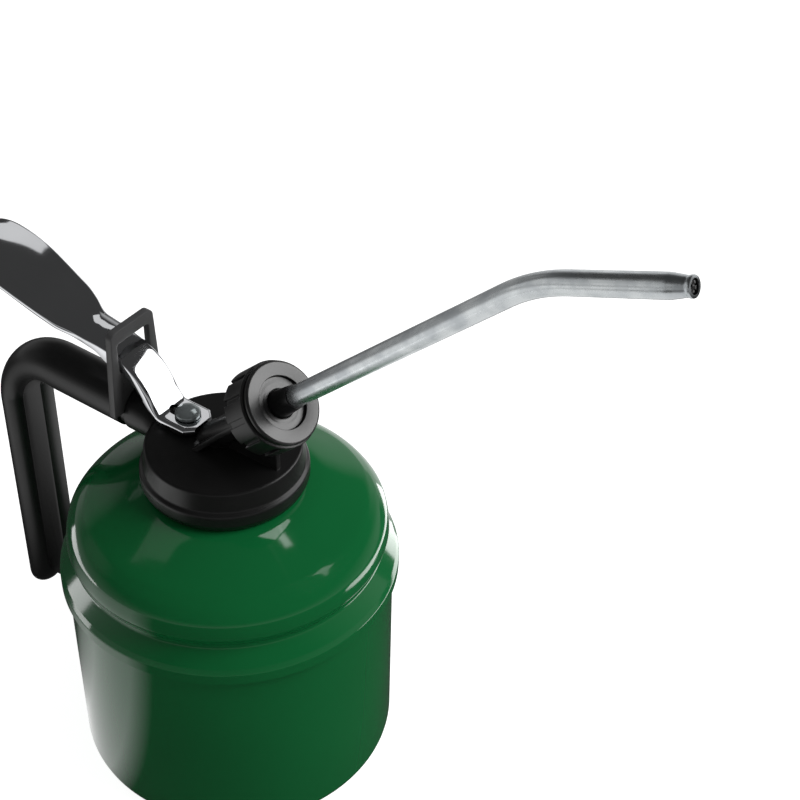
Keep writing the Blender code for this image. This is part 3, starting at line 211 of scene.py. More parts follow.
class Bench:
    """Modelling steps that several pieces share, each done with Blender's own operators."""

    @staticmethod
    def clear() -> None:
        """Deselects every object."""
        bpy.ops.object.select_all(action="DESELECT")

    @staticmethod
    def pick(piece: Solid) -> None:
        """Makes one object the only selected and active one.

        Args:
            piece: The object.
        """
        Bench.clear()
        piece.select_set(True)
        bpy.context.view_layer.objects.active = piece

    @staticmethod
    @contextmanager
    def editing(piece: Solid) -> Iterator[None]:
        """Opens an object in edit mode and closes it again.

        Args:
            piece: The object.

        Returns:
            A context, inside which the object is open.
        """
        Bench.pick(piece)
        bpy.ops.object.mode_set(mode="EDIT")
        yield
        bpy.ops.object.mode_set(mode="OBJECT")

    @staticmethod
    def tidy(piece: Solid) -> None:
        """Merges doubled points and turns all faces outwards.

        Args:
            piece: The object.
        """
        with Bench.editing(piece):
            bpy.ops.mesh.select_all(action="SELECT")
            bpy.ops.mesh.remove_doubles(threshold=WELD)
            bpy.ops.mesh.normals_make_consistent(inside=False)

    @staticmethod
    def turned(name: str, profile: Sequence[Point2], steps: int) -> Solid:
        """Extrudes a point along a profile and spins the line round Z.

        Args:
            name: The new object's name.
            profile: Points as (radius, height); a closed loop unless both ends lie on the axis.
            steps: How many steps the full turn has.

        Returns:
            The turned solid.
        """
        solid = profile[0][0] == 0 and profile[-1][0] == 0
        path = list(profile) if solid else [*profile, profile[0]]
        Bench.clear()
        bpy.ops.mesh.primitive_plane_add(size=MM)
        piece = bpy.context.object
        piece.name = piece.data.name = name
        with Bench.editing(piece):
            bpy.ops.mesh.select_all(action="SELECT")
            bpy.ops.mesh.merge(type="CENTER")
            bpy.ops.transform.translate(value=(path[0][0], 0, path[0][1]))
            for (radius, height), (next_radius, next_height) in zip(path, path[1:]):
                step = (next_radius - radius, 0, next_height - height)
                bpy.ops.mesh.extrude_region_move(TRANSFORM_OT_translate={"value": step})
            bpy.ops.mesh.select_all(action="SELECT")
            bpy.ops.mesh.spin(steps=steps, angle=FULL_TURN, center=(0, 0, 0), axis=(0, 0, 1))
        Bench.tidy(piece)
        return piece

    @staticmethod
    def bar(name: str, radius: float, start: float, end: float, steps: int = FINE_STEPS) -> Solid:
        """Turns a round bar on Z from one height to another."""
        return Bench.turned(name, [(0, start), (radius, start), (radius, end), (0, end)], steps)

    @staticmethod
    def swept(name: str, loops: Sequence[Sequence[Vector]], ring: bool = False) -> Solid:
        """Extrudes a ring of points from place to place.

        Args:
            name: The new object's name.
            loops: The points of each ring, in the same order in each.
            ring: Whether the last ring joins the first; if not, both ends are capped.

        Returns:
            The swept solid.
        """
        Bench.clear()
        fill = "NOTHING" if ring else "NGON"
        bpy.ops.mesh.primitive_circle_add(vertices=len(loops[0]), radius=MM, fill_type=fill)
        piece = bpy.context.object
        piece.name = piece.data.name = name
        with Bench.editing(piece):
            bpy.ops.mesh.select_all(action="SELECT")
            places: dict[tuple[float, ...], int] = {}
            mesh = bmesh.from_edit_mesh(piece.data)
            mesh.verts.ensure_lookup_table()
            for index, point in enumerate(loops[0]):
                mesh.verts[index].co = point
                places[tuple(mesh.verts[index].co)] = index
            bmesh.update_edit_mesh(piece.data)
            for loop in [*loops[1:], loops[0]] if ring else loops[1:]:
                bpy.ops.mesh.extrude_region_move()
                mesh = bmesh.from_edit_mesh(piece.data)
                following: dict[tuple[float, ...], int] = {}
                for vertex in mesh.verts:
                    if vertex.select:
                        index = places[tuple(vertex.co)]
                        vertex.co = loop[index]
                        following[tuple(vertex.co)] = index
                bmesh.update_edit_mesh(piece.data)
                places = following
        Bench.tidy(piece)
        return piece

    @staticmethod
    def plate(name: str, outline: Sequence[Point2], thickness: float, edge: float = 0.0) -> Solid:
        """Extrudes an outline into a flat plate.

        Args:
            name: The new object's name.
            outline: Points as (along X, along Y).
            thickness: The size along Z, half to each side of zero.
            edge: How far its sharp edges are bevelled.

        Returns:
            The plate.
        """
        loops = [[Vector((x, y, side * thickness / 2)) for x, y in outline] for side in (-1, 1)]
        piece = Bench.swept(name, loops)
        if edge > 0:
            Bench.bevel(piece, edge)
        return piece

    @staticmethod
    def bevel(piece: Solid, width: float, segments: int = 2) -> None:
        """Rounds a piece's sharp edges.

        Args:
            piece: The object.
            width: How far from an edge the rounding starts.
            segments: How many faces round it.
        """
        modifier = piece.modifiers.new("edge", "BEVEL")
        modifier.width = width
        modifier.segments = segments
        modifier.limit_method = "ANGLE"
        modifier.angle_limit = BEVEL_ANGLE
        modifier.use_clamp_overlap = True
        Bench.pick(piece)
        bpy.ops.object.modifier_apply(modifier=modifier.name)

    @staticmethod
    def merge(piece: Solid, tool: Solid, operation: Operation) -> None:
        """Joins a solid to a piece, or cuts it out, and removes the tool.

        Args:
            piece: The solid that stays.
            tool: The solid that changes it.
            operation: What is done with the tool.
        """
        modifier = piece.modifiers.new(operation.name, "BOOLEAN")
        modifier.operation = operation.value
        modifier.solver = "EXACT"
        modifier.object = tool
        Bench.pick(piece)
        bpy.ops.object.modifier_apply(modifier=modifier.name)
        bpy.data.objects.remove(tool)

    @staticmethod
    def gather(pieces: Sequence[Solid]) -> Solid:
        """Joins separate solids into the first object.

        Args:
            pieces: The objects.

        Returns:
            The first of them, with the meshes of all.
        """
        Bench.pick(pieces[0])
        for piece in pieces[1:]:
            piece.select_set(True)
        bpy.ops.object.join()
        return pieces[0]

    @staticmethod
    def around(piece: Solid, count: int) -> Solid:
        """Copies a piece round Z, each copy with its own mesh, and joins them all.

        Args:
            piece: The object.
            count: How many there are in the end.

        Returns:
            The joined object.
        """
        copies = [piece]
        for index in range(1, count):
            Bench.pick(piece)
            bpy.ops.object.duplicate(linked=False)
            copy = bpy.context.object
            turn = FULL_TURN * index / count
            bpy.ops.transform.rotate(value=turn, orient_axis="Z", center_override=(0, 0, 0))
            bpy.ops.object.transform_apply(location=True, rotation=True, scale=True)
            copies.append(copy)
        return Bench.gather(copies)

    @staticmethod
    def seat(piece: Solid, place: Matrix) -> None:
        """Puts a piece where it belongs, with its place in its mesh.

        Args:
            piece: The object.
            place: Where its own frame goes.
        """
        piece.matrix_world = place
        Bench.pick(piece)
        bpy.ops.object.transform_apply(location=True, rotation=True, scale=True)

    @staticmethod
    def smooth(piece: Solid) -> None:
        """Shades a piece smooth but for its sharp edges."""
        Bench.pick(piece)
        bpy.ops.object.shade_smooth_by_angle(angle=SHADE_ANGLE)


class Sheet:
    """The nodes of one material or one group, and short ways to add to them."""

    def __init__(self, tree: bpy.types.NodeTree) -> None:
        """Takes the node tree to work on."""
        self.tree = tree

    def add(self, kind: str, **settings: object) -> bpy.types.Node:
        """Adds a node.

        Args:
            kind: The node's type name, without its ShaderNode prefix.
            **settings: Attributes to set on it.

        Returns:
            The node.
        """
        node = self.tree.nodes.new(f"ShaderNode{kind}")
        for key, value in settings.items():
            setattr(node, key, value)
        return node

    def wire(self, source: Socket, target: Socket) -> None:
        """Links one socket to another."""
        self.tree.links.new(source, target)

    def ramp(self, source: Socket, low: float, high: float, out_low: float, out_high: float) -> Socket:
        """Maps a value's range to another, held at both ends.

        Args:
            source: The value's socket.
            low: Where the range starts.
            high: Where it ends.
            out_low: What the start becomes.
            out_high: What the end becomes.

        Returns:
            The mapped value's socket.
        """
        node = self.add("MapRange", clamp=True)
        for socket, value in zip(node.inputs[1:5], (low, high, out_low, out_high)):
            socket.default_value = value
        self.wire(source, node.inputs[0])
        return node.outputs[0]

    def mix(self, factor: Socket, first: Colour, second: Colour) -> Socket:
        """Mixes two colours by a value that changes over the surface.

        Args:
            factor: The value's socket.
            first: The colour at 0.
            second: The colour at 1.

        Returns:
            The colour's socket.
        """
        node = self.add("Mix", data_type="RGBA")
        self.wire(factor, node.inputs[0])
        node.inputs[MIX_FIRST].default_value = (*first, 1)
        node.inputs[MIX_SECOND].default_value = (*second, 1)
        return node.outputs[MIX_RESULT]

    def maths(self, operation: str, first: Socket, second: Socket) -> Socket:
        """Works out one value from two, by the name of a Math node's operation.

        Args:
            operation: The operation, such as ADD.
            first: The first value's socket.
            second: The second value's socket.

        Returns:
            The result's socket.
        """
        node = self.add("Math", operation=operation)
        self.wire(first, node.inputs[0])
        self.wire(second, node.inputs[1])
        return node.outputs[0]

    def choose(self, factor: Socket, first: Socket, second: Socket) -> Socket:
        """Mixes two shaders: a factor of 1 shows the second alone.

        Args:
            factor: The factor's socket.
            first: The first shader's socket.
            second: The second shader's socket.

        Returns:
            The mixed shader's socket.
        """
        node = self.add("MixShader")
        for source, target in zip((factor, first, second), node.inputs):
            self.wire(source, target)
        return node.outputs[0]

    def along(self, direction: Socket, heading: Vector) -> Socket:
        """How far a direction points along a fixed heading.

        Args:
            direction: The direction's socket.
            heading: The heading.

        Returns:
            The socket of the length along it.
        """
        node = self.add("VectorMath", operation="DOT_PRODUCT")
        self.wire(direction, node.inputs[0])
        node.inputs[1].default_value = heading
        return node.outputs["Value"]


class Pattern(Enum):
    """The patterns that more than one finish uses, each a shared node group."""

    GRAIN = "fine grain"
    CLOUDS = "slow clouds"
    HAIRLINES = "drawn hairlines"


class PatternBook:
    """Makes each shared node group the first time that a finish asks for it."""

    made: dict[Pattern, bpy.types.NodeTree] = {}
    # How many finer layers each pattern's noise has, and how strong they are
    layers = {Pattern.GRAIN: (4.0, 0.55), Pattern.CLOUDS: (2.0, 0.55), Pattern.HAIRLINES: (6.0, 0.7)}

    @classmethod
    def group(cls, pattern: Pattern) -> bpy.types.NodeTree:
        """Gives a pattern's node group.

        Args:
            pattern: Which pattern.

        Returns:
            The group, whose inputs are Scale and Stretch and whose output is Value.
        """
        if pattern in cls.made:
            return cls.made[pattern]
        tree = bpy.data.node_groups.new(pattern.value, "ShaderNodeTree")
        tree.interface.new_socket("Scale", in_out="INPUT", socket_type="NodeSocketFloat")
        tree.interface.new_socket("Stretch", in_out="INPUT", socket_type="NodeSocketVector")
        tree.interface.new_socket("Value", in_out="OUTPUT", socket_type="NodeSocketFloat")
        sheet = Sheet(tree)
        inside = tree.nodes.new("NodeGroupInput")
        outside = tree.nodes.new("NodeGroupOutput")
        place = sheet.add("TexCoord")
        stretch = sheet.add("VectorMath", operation="MULTIPLY")
        sheet.wire(place.outputs["Object"], stretch.inputs[0])
        sheet.wire(inside.outputs["Stretch"], stretch.inputs[1])
        noise = sheet.add("TexNoise")
        sheet.wire(stretch.outputs[0], noise.inputs["Vector"])
        sheet.wire(inside.outputs["Scale"], noise.inputs["Scale"])
        noise.inputs["Detail"].default_value, noise.inputs["Roughness"].default_value = cls.layers[pattern]
        sheet.wire(noise.outputs[0], outside.inputs["Value"])
        cls.made[pattern] = tree
        return tree

    @classmethod
    def place(cls, sheet: Sheet, pattern: Pattern, scale: float, stretch: Colour = (1, 1, 1)) -> Socket:
        """Puts a pattern into a material.

        Args:
            sheet: The material's nodes.
            pattern: Which pattern.
            scale: How many features there are to a metre.
            stretch: How much denser it is along X, Y and Z.

        Returns:
            The pattern's value socket.
        """
        node = sheet.tree.nodes.new("ShaderNodeGroup")
        node.node_tree = cls.group(pattern)
        node.inputs["Scale"].default_value = scale
        node.inputs["Stretch"].default_value = stretch
        return node.outputs["Value"]


@dataclass(frozen=True)
class Finish:
    """One surface finish: a colour that drifts between two tones, a roughness range and a fine relief."""

    name: str
    light_tone: Colour
    dark_tone: Colour
    roughness: tuple[float, float]
    metallic: float = 0.0
    relief: float = 0.02 * MM
    relief_scale: float = 900.0
    cloud_scale: float = 40.0
    pattern: Pattern = Pattern.GRAIN
    stretch: Colour = (1, 1, 1)
    coat: float = 0.0
    coat_roughness: float = 0.03
    specular: float = 0.5
    transmission: float = 0.0
    edge_radius: float = 0.0
    edge_samples: int = 6
    # The noise values between which the tones change, and the sums between which the roughness does
    tone_range: tuple[float, float] = (0.35, 0.65)
    gloss_range: tuple[float, float] = (0.7, 1.3)

    def material(self) -> bpy.types.Material:
        """Builds the finish once.

        Returns:
            The material, shared by every piece that has this finish.
        """
        found = bpy.data.materials.get(self.name)
        if found:
            return found
        made = bpy.data.materials.new(self.name)
        made.use_nodes = True
        sheet = Sheet(made.node_tree)
        shader = made.node_tree.nodes["Principled BSDF"]
        for name, value in (
            ("Metallic", self.metallic), ("Coat Weight", self.coat), ("Coat Roughness", self.coat_roughness),
            ("Specular IOR Level", self.specular), ("Transmission Weight", self.transmission),
        ):
            shader.inputs[name].default_value = value
        clouds = PatternBook.place(sheet, Pattern.CLOUDS, self.cloud_scale)
        grain = PatternBook.place(sheet, self.pattern, self.relief_scale, self.stretch)
        drift = sheet.ramp(clouds, *self.tone_range, 0, 1)
        sheet.wire(sheet.mix(drift, self.light_tone, self.dark_tone), shader.inputs["Base Color"])
        both = sheet.maths("ADD", clouds, grain)
        sheet.wire(sheet.ramp(both, *self.gloss_range, *self.roughness), shader.inputs["Roughness"])
        bump = sheet.add("Bump")
        bump.inputs["Strength"].default_value = 1.0
        bump.inputs["Distance"].default_value = self.relief
        sheet.wire(grain, bump.inputs["Height"])
        if self.edge_radius > 0:
            edge = sheet.add("Bevel", samples=self.edge_samples)
            edge.inputs["Radius"].default_value = self.edge_radius
            sheet.wire(edge.outputs[0], bump.inputs["Normal"])
        sheet.wire(bump.outputs[0], shader.inputs["Normal"])
        return made

    def dress(self, piece: Solid) -> None:
        """Gives a piece this finish all over."""
        piece.data.materials.clear()
        piece.data.materials.append(self.material())


ENAMEL = Finish(
    "green enamel", (0.006, 0.156, 0.041), (0.005, 0.138, 0.036), (0.3, 0.36), relief=0.004 * MM,
    relief_scale=260, cloud_scale=14, coat=1.0, coat_roughness=0.085, specular=0.0,
)
MOULDING = Finish(
    "black moulding", (0.012, 0.012, 0.012), (0.009, 0.009, 0.009), (0.3, 0.36), relief=0.006 * MM,
    relief_scale=2600, cloud_scale=60, edge_radius=0.25 * MM,
)
NUT_MOULDING = replace(MOULDING, name="black nut moulding")
SCREW_ZINC = Finish(
    "zinc screw", (0.34, 0.375, 0.38), (0.27, 0.30, 0.305), (0.14, 0.2), 0.6, relief=0.004 * MM,
    relief_scale=500, cloud_scale=120,
)
COATED_STEEL = Finish(
    "black coated steel", (0.095, 0.095, 0.096), (0.078, 0.078, 0.079), (0.33, 0.42), relief=0.006 * MM,
    relief_scale=1800, cloud_scale=80,
)
CHROME = Finish(
    "bright chrome", (0.80, 0.81, 0.83), (0.76, 0.77, 0.79), (0.05, 0.09), 1.0, relief=0.004 * MM,
    relief_scale=160, cloud_scale=50,
)
ZINC = Finish(
    "zinc plate", (0.66, 0.69, 0.70), (0.50, 0.53, 0.55), (0.2, 0.36), 1.0, relief=0.006 * MM,
    relief_scale=700, cloud_scale=160, pattern=Pattern.HAIRLINES, stretch=(0.45, 1.6, 0.45),
)
STEEL = Finish(
    "plain steel", (0.62, 0.62, 0.62), (0.5, 0.5, 0.5), (0.22, 0.34), 1.0, relief=0.004 * MM,
    relief_scale=1500,
)
BRASS = Finish(
    "turned brass", (0.72, 0.50, 0.20), (0.62, 0.42, 0.16), (0.24, 0.34), 1.0, relief=0.004 * MM,
    relief_scale=900, pattern=Pattern.HAIRLINES, stretch=(0.2, 0.2, 4.0),
)
RUBBER = Finish(
    "oil-proof rubber", (0.02, 0.02, 0.02), (0.014, 0.014, 0.014), (0.65, 0.8), relief=0.02 * MM,
    relief_scale=1600,
)
CLEAR_TUBE = Finish(
    "milky plastic", (0.78, 0.80, 0.76), (0.70, 0.72, 0.68), (0.25, 0.35), transmission=0.5, relief_scale=500,
)
# The nodes that stay as they are, because they are hidden inside, each with its finish
HIDDEN_FINISHES = {
    "neck_collar": STEEL, "cap_gasket": RUBBER, "rod_bush": MOULDING, "rod_seal": RUBBER,
    "spring_washer": STEEL, "return_spring": STEEL, "pump_barrel": BRASS, "foot_valve": BRASS,
    "foot_ball": STEEL, "suction_tube": CLEAR_TUBE, "suction_strainer": BRASS, "piston_rod": STEEL,
    "piston": BRASS, "piston_cup": RUBBER, "piston_nut": STEEL, "outlet_ball": STEEL,
    "outlet_stop": BRASS, "spout_gasket": RUBBER,
}


def upright(x: float = 0.0) -> Matrix:
    """The place of a plate that stands across X, with its outline in (y, z)."""
    return Matrix(((0, 0, 1, x), (1, 0, 0, 0), (0, 1, 0, 0), (0, 0, 0, 1)))


@dataclass
class Layout:
    """Places and sizes that several sub-assemblies share."""

    cap_top: float = 111.0 * MM
    pump_x: float = -12.9 * MM
    outlet_angle: float = 43.7 * DEGREE
    outlet_x: float = -3.8 * MM
    outlet_length: float = 36.2 * MM
    nut_length: float = 10.5 * MM
    arm_drop: float = 2.25 * MM
    bracket_x: float = -32.8 * MM
    bracket_thickness: float = 2.4 * MM
    window_sill: float = 13.0 * MM
    tongue_rise: float = 3.2 * MM
    gap: float = 0.3 * MM

    def head(self) -> Matrix:
        """The frame on the middle of the cap's flat top."""
        return Matrix.Translation((0, 0, self.cap_top))

    def pump(self) -> Matrix:
        """The frame on the pump's axis, at the cap's top."""
        return Matrix.Translation((self.pump_x, 0, self.cap_top))

    def pivot(self) -> Matrix:
        """The frame on the sill that the lever rocks on."""
        return Matrix.Translation((self.bracket_x, 0, self.cap_top + self.window_sill))

    def outlet(self) -> Matrix:
        """The frame on the union nut's front face, with Z along the outlet.

        Returns:
            The frame.
        """
        along = Vector((math.cos(self.outlet_angle), 0, math.sin(self.outlet_angle)))
        place = Vector((self.outlet_x, 0, self.cap_top)) + self.outlet_length * along
        return Matrix.Translation(place) @ Matrix.Rotation(QUARTER_TURN - self.outlet_angle, 4, "Y")

    def crosswise(self, x: float) -> Matrix:
        """The head's frame for a plate whose outline is in (y, z) and whose thickness is along X."""
        return self.head() @ upright(x)

    def lengthwise(self) -> Matrix:
        """The head's frame for a plate whose outline is in (x, z) and whose thickness is along Y."""
        return self.head() @ Matrix(((1, 0, 0, 0), (0, 0, -1, 0), (0, 1, 0, 0), (0, 0, 0, 1)))


@dataclass
class Piece:
    """A finished piece's body, the node that it stands for and its finish, with the name of a slot beside
    them.
    """

    body: str
    slot: str
    node: str
    finish: Finish

    def deliver(self, piece: Solid) -> None:
        """Dresses a piece and hands it over.

        Args:
            piece: The finished mesh, in place.
        """
        Bench.smooth(piece)
        self.finish.dress(piece)
        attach(piece, self.body)
        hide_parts(self.node)
        LOG.info("%s: %d faces, rides on %s", piece.name, len(piece.data.polygons), self.body)


@dataclass
class PaintedCan:
    """The can: a bell-shaped upper shell with a rolled bead, and the drawn body under it."""

    bead_radius: float = 50.0 * MM
    bead_height: float = 70.0 * MM
    bead_drop: float = 4.0 * MM
    bead_inset: float = 1.0 * MM
    bead_fillet: float = 1.6 * MM
    bead_edge: float = 0.8 * MM
    bead_edge_fillet: float = 1.2 * MM
    shoulder_radius: float = 47.0 * MM
    shoulder_rise: float = 11.0 * MM
    shoulder_edge: float = 1.8 * MM
    shoulder_fillet: float = 1.2 * MM
    groove_radius: float = 45.2 * MM
    groove_rise: float = 6.2 * MM
    groove_fillet: float = 1.8 * MM
    dome_rise: float = 28.0 * MM
    neck_radius: float = 19.7 * MM
    neck_height: float = 6.6 * MM
    neck_flare: float = 4.0 * MM
    body_radius: float = 48.2 * MM
    base_corner: float = 4.0 * MM
    sheet: float = 0.8 * MM
    steps: int = 192
    dome_steps: int = 5
    fillet_steps: int = 8
    corner_steps: int = 12
    # Shares of the dome's width and height, from the shoulder's edge up to the neck
    dome_shares: Sequence[Point2] = (
        (0.0, 0.0), (0.016, 0.13), (0.04, 0.235), (0.119, 0.394), (0.198, 0.5), (0.277, 0.582),
        (0.435, 0.70), (0.593, 0.81), (0.751, 0.905), (0.889, 0.965),
    )

    def dome_profile(self) -> list[Point2]:
        """The upper shell's outline, outside from the neck down and inside back up.

        Returns:
            The closed profile.
        """
        neck_foot = self.bead_height + self.dome_rise
        shoulder = self.bead_height + self.shoulder_rise
        depth = neck_foot - shoulder
        width = self.shoulder_radius - self.neck_radius - self.neck_flare / 2
        bell = [
            (self.shoulder_radius - width * across, shoulder + depth * up) for across, up in self.dome_shares
        ]
        bell = [tuple(point) for point in reversed(flowing(bell, self.dome_steps))]
        throat, flare = self.neck_radius, self.neck_flare / 4
        neck = [(throat, neck_foot + self.neck_height), (throat, neck_foot + flare)]
        neck += [(throat + flare, neck_foot)]
        bead = rounded(
            [
                Corner(*bell[-2]),
                Corner(self.shoulder_radius, shoulder - self.shoulder_edge / 2, self.shoulder_fillet),
                Corner(self.groove_radius, self.bead_height + self.groove_rise, self.groove_fillet),
                Corner(self.bead_radius - self.bead_inset, self.bead_height + self.sheet, self.bead_fillet),
                Corner(self.bead_radius, self.bead_height - self.bead_edge, self.bead_edge_fillet),
                Corner(self.bead_radius, self.bead_height - self.bead_drop),
            ],
            self.fillet_steps,
        )
        outer = [*neck, *bell[:-1], *bead[1:]]
        inner = []
        for index, (radius, height) in enumerate(outer):
            before, after = outer[max(index - 1, 0)], outer[min(index + 1, len(outer) - 1)]
            along = Vector((after[0] - before[0], after[1] - before[1])).normalized()
            inner.append((radius + along.y * self.sheet, height - along.x * self.sheet))
        return outer + inner[::-1]

    def body_profile(self) -> list[Point2]:
        """The lower body's outline, from its open rim to the base and back inside.

        Returns:
            The profile, with both ends on the axis.
        """
        rim = self.bead_height - self.sheet
        wall, corner, steps = self.body_radius, self.base_corner, self.corner_steps
        outside = arc_points((wall - corner, corner), corner, -QUARTER_TURN, 0, steps)
        inside = arc_points((wall - corner, corner), corner - self.sheet, 0, -QUARTER_TURN, steps)
        return [(0, 0), *outside, (wall, rim), (wall - self.sheet, rim), *inside, (0, self.sheet)]

    def build(self) -> None:
        """Models, dresses and hands over the two shells."""
        dome = Bench.turned("painted_dome", self.dome_profile(), self.steps)
        Piece("can", "green_paint", "can_dome", ENAMEL).deliver(dome)
        body = Bench.turned("painted_body", self.body_profile(), self.steps)
        Piece("can", "green_paint", "can_body", ENAMEL).deliver(body)


@dataclass
class PumpHead:
    """The black moulding: screw cap, outlet boss with web and ribs, arm and hooked grip."""

    layout: Layout
    cap_height: float = 12.3 * MM
    cap_top_radius: float = 22.4 * MM
    cap_skirt_radius: float = 23.1 * MM
    cap_skirt_fillet: float = 1.2 * MM
    cap_bead_radius: float = 24.2 * MM
    cap_bead_height: float = 6.2 * MM
    cap_bead_top: float = 0.9 * MM
    cap_bead_bottom: float = 4.4 * MM
    cap_bead_lean_share: float = 0.05
    cap_bead_fillet: float = 1.6 * MM
    cap_foot_radius: float = 23.4 * MM
    cap_foot_fillet: float = 0.3 * MM
    cap_bore: float = 21.6 * MM
    cap_disc: float = 3.4 * MM
    cap_edge: float = 0.9 * MM
    boss_radius: float = 4.2 * MM
    boss_collar: float = 7.7 * MM
    boss_overlap: float = 2.0 * MM
    boss_end: float = -5.7 * MM
    arm_radius: float = 7.3 * MM
    arm_end: float = -62.0 * MM
    elbow_radius: float = 26.0 * MM
    grip_half: float = 4.2 * MM
    grip_web: float = 5.4 * MM
    grip_front: float = -71.2 * MM
    grip_length: float = 82.0 * MM
    grip_end_share: float = 0.12
    grip_under: float = 0.7 * MM
    grip_fillet: float = 2.2 * MM
    grip_edge: float = 0.45 * MM
    plate_edge: float = 0.2 * MM
    rib_thickness: float = 1.6 * MM
    rib_half: float = 8.0 * MM
    rib_reach: float = 12.5 * MM
    web_thickness: float = 1.8 * MM
    web_back: float = 1.0 * MM
    web_width_share: float = 0.9
    web_front: float = 19.8 * MM
    web_post: float = 4.6 * MM
    root: float = 3.5 * MM
    seat_depth: float = 0.9 * MM
    rod_hole: float = 5.1 * MM
    rod_hole_reach: float = 8.0 * MM
    bush_clearance: float = 6.5 * MM
    bush_height: float = 7.0 * MM
    cap_steps: int = 160
    bore_steps: int = 128
    fillet_steps: int = 8
    elbow_steps: int = 24
    end_steps: int = 10
    # Shares of the arm's radius where it leaves the cap: along, below its middle, half depth, half width
    arm_roots: Sequence[tuple[float, float, float, float]] = (
        (0.85, 0.4, 0.5, 0.7), (0.35, 0.25, 0.62, 0.9), (-0.25, 0.0, 1.0, 1.0),
    )

    def cap(self) -> Solid:
        """The cap's outside, as a solid disc with its flaring skirt and bead.

        Returns:
            The disc, in place.
        """
        foot = -self.cap_height
        bead = foot + self.cap_bead_height
        lean = (self.cap_bead_radius - self.cap_skirt_radius) * self.cap_bead_lean_share
        corners = [
            Corner(0, 0),
            Corner(self.cap_top_radius, 0, self.cap_edge),
            Corner(self.cap_skirt_radius, bead, self.cap_skirt_fillet),
            Corner(self.cap_bead_radius, bead - self.cap_bead_top, self.cap_bead_fillet),
            Corner(self.cap_bead_radius + lean, bead - self.cap_bead_bottom, self.cap_bead_fillet),
            Corner(self.cap_foot_radius, foot, self.cap_foot_fillet),
            Corner(0, foot),
        ]
        cap = Bench.turned("pump_head_moulding", rounded(corners, self.fillet_steps), self.cap_steps)
        Bench.seat(cap, self.layout.head())
        return cap

    def arm(self) -> Solid:
        """The round arm, its elbow and the rounded back of the grip.

        Returns:
            The arm, in place.
        """
        radius, drop = self.arm_radius, self.layout.arm_drop
        crown = radius - drop
        front = -self.cap_top_radius
        up = Vector((0, 0, 1))
        sections = [
            (Vector((front + radius * along, 0, -drop - radius * below)), up, radius * deep, radius * wide)
            for along, below, deep, wide in self.arm_roots
        ]
        for step in range(self.elbow_steps + 1):
            turn = QUARTER_TURN * step / self.elbow_steps
            outward = Vector((-math.sin(turn), 0, math.cos(turn)))
            half = radius + (self.grip_half - radius) * step / self.elbow_steps
            surface = Vector((self.arm_end, 0, crown - self.elbow_radius)) + outward * self.elbow_radius
            sections.append((surface - outward * half, outward, half, radius))
        back, rear = sections[-1][0], Vector((-1, 0, 0))
        for step in range(self.end_steps + 1):
            turn = QUARTER_TURN * step / self.end_steps
            size = max(math.cos(turn), self.grip_end_share)
            down = Vector((0, 0, self.grip_length - radius + radius * math.sin(turn)))
            sections.append((back - down, rear, self.grip_half * size, radius * size))
        arm = Bench.swept("arm", [oval(*section) for section in sections])
        Bench.seat(arm, self.layout.head())
        return arm

    def grip(self) -> Solid:
        """The grip's flat web, which faces the can and stiffens the elbow.

        Returns:
            The web, in place.
        """
        drop = self.layout.arm_drop
        under = -drop - self.arm_radius - self.grip_under
        middle = self.arm_radius - drop - self.elbow_radius
        bottom = middle - self.grip_length + self.arm_radius
        curve = self.elbow_radius - self.grip_half
        fillet = self.grip_fillet
        outline = arc_points((self.arm_end, middle), curve, QUARTER_TURN, HALF_TURN, self.elbow_steps)
        outline += [(self.arm_end - curve, bottom)]
        foot, corner = (self.grip_front - fillet, bottom + fillet), (self.grip_front + fillet, under - fillet)
        outline += arc_points(foot, fillet, -QUARTER_TURN, 0, self.fillet_steps)
        outline += arc_points(corner, fillet, HALF_TURN, QUARTER_TURN, self.fillet_steps)
        outline += [(self.arm_end, -drop - self.arm_radius / 2), (self.arm_end + self.arm_radius, -drop)]
        web = Bench.plate("grip_web", outline, self.grip_web, self.grip_edge)
        Bench.seat(web, self.layout.lengthwise())
        return web

    def outlet_round(self, name: str, radius: float, back: float, front: float) -> Solid:
        """A round bar on the outlet's axis.

        Args:
            name: The new object's name.
            radius: The bar's radius.
            back: Where it starts along the outlet.
            front: Where it ends.

        Returns:
            The bar, in place.
        """
        bar = Bench.bar(name, radius, back, front)
        Bench.seat(bar, self.layout.outlet())
        return bar

    def ribs(self) -> Solid:
        """The plate that stiffens the boss from both sides.

        Returns:
            The plate, in place.
        """
        foot = -self.layout.outlet_length
        outline = [
            (-self.rib_half, foot - self.root),
            (self.rib_half, foot - self.root),
            (self.rib_half, foot),
            (self.boss_radius / 2, foot + self.rib_reach),
            (-self.boss_radius / 2, foot + self.rib_reach),
            (-self.rib_half, foot),
        ]
        plate = Bench.plate("boss_ribs", outline, self.rib_thickness, self.plate_edge)
        Bench.seat(plate, self.layout.outlet() @ upright())
        return plate

    def web(self) -> Solid:
        """The web under the boss, with the low post at its front.

        Returns:
            The web, in place.
        """
        start, foot = self.layout.outlet_x, -self.cap_disc / 2
        along, up = math.cos(self.layout.outlet_angle), math.sin(self.layout.outlet_angle)
        back = self.layout.outlet_length - self.layout.nut_length - self.web_back
        x, z = start + back * along, back * up
        across = self.boss_collar * self.web_width_share
        outline = [
            (start, foot), (start, self.boss_radius / 2), (x, z), (x + across * up, z - across * along),
            (self.web_front, self.web_post), (self.web_front, foot),
        ]
        plate = Bench.plate("boss_web", outline, self.web_thickness, self.plate_edge)
        Bench.seat(plate, self.layout.lengthwise())
        return plate

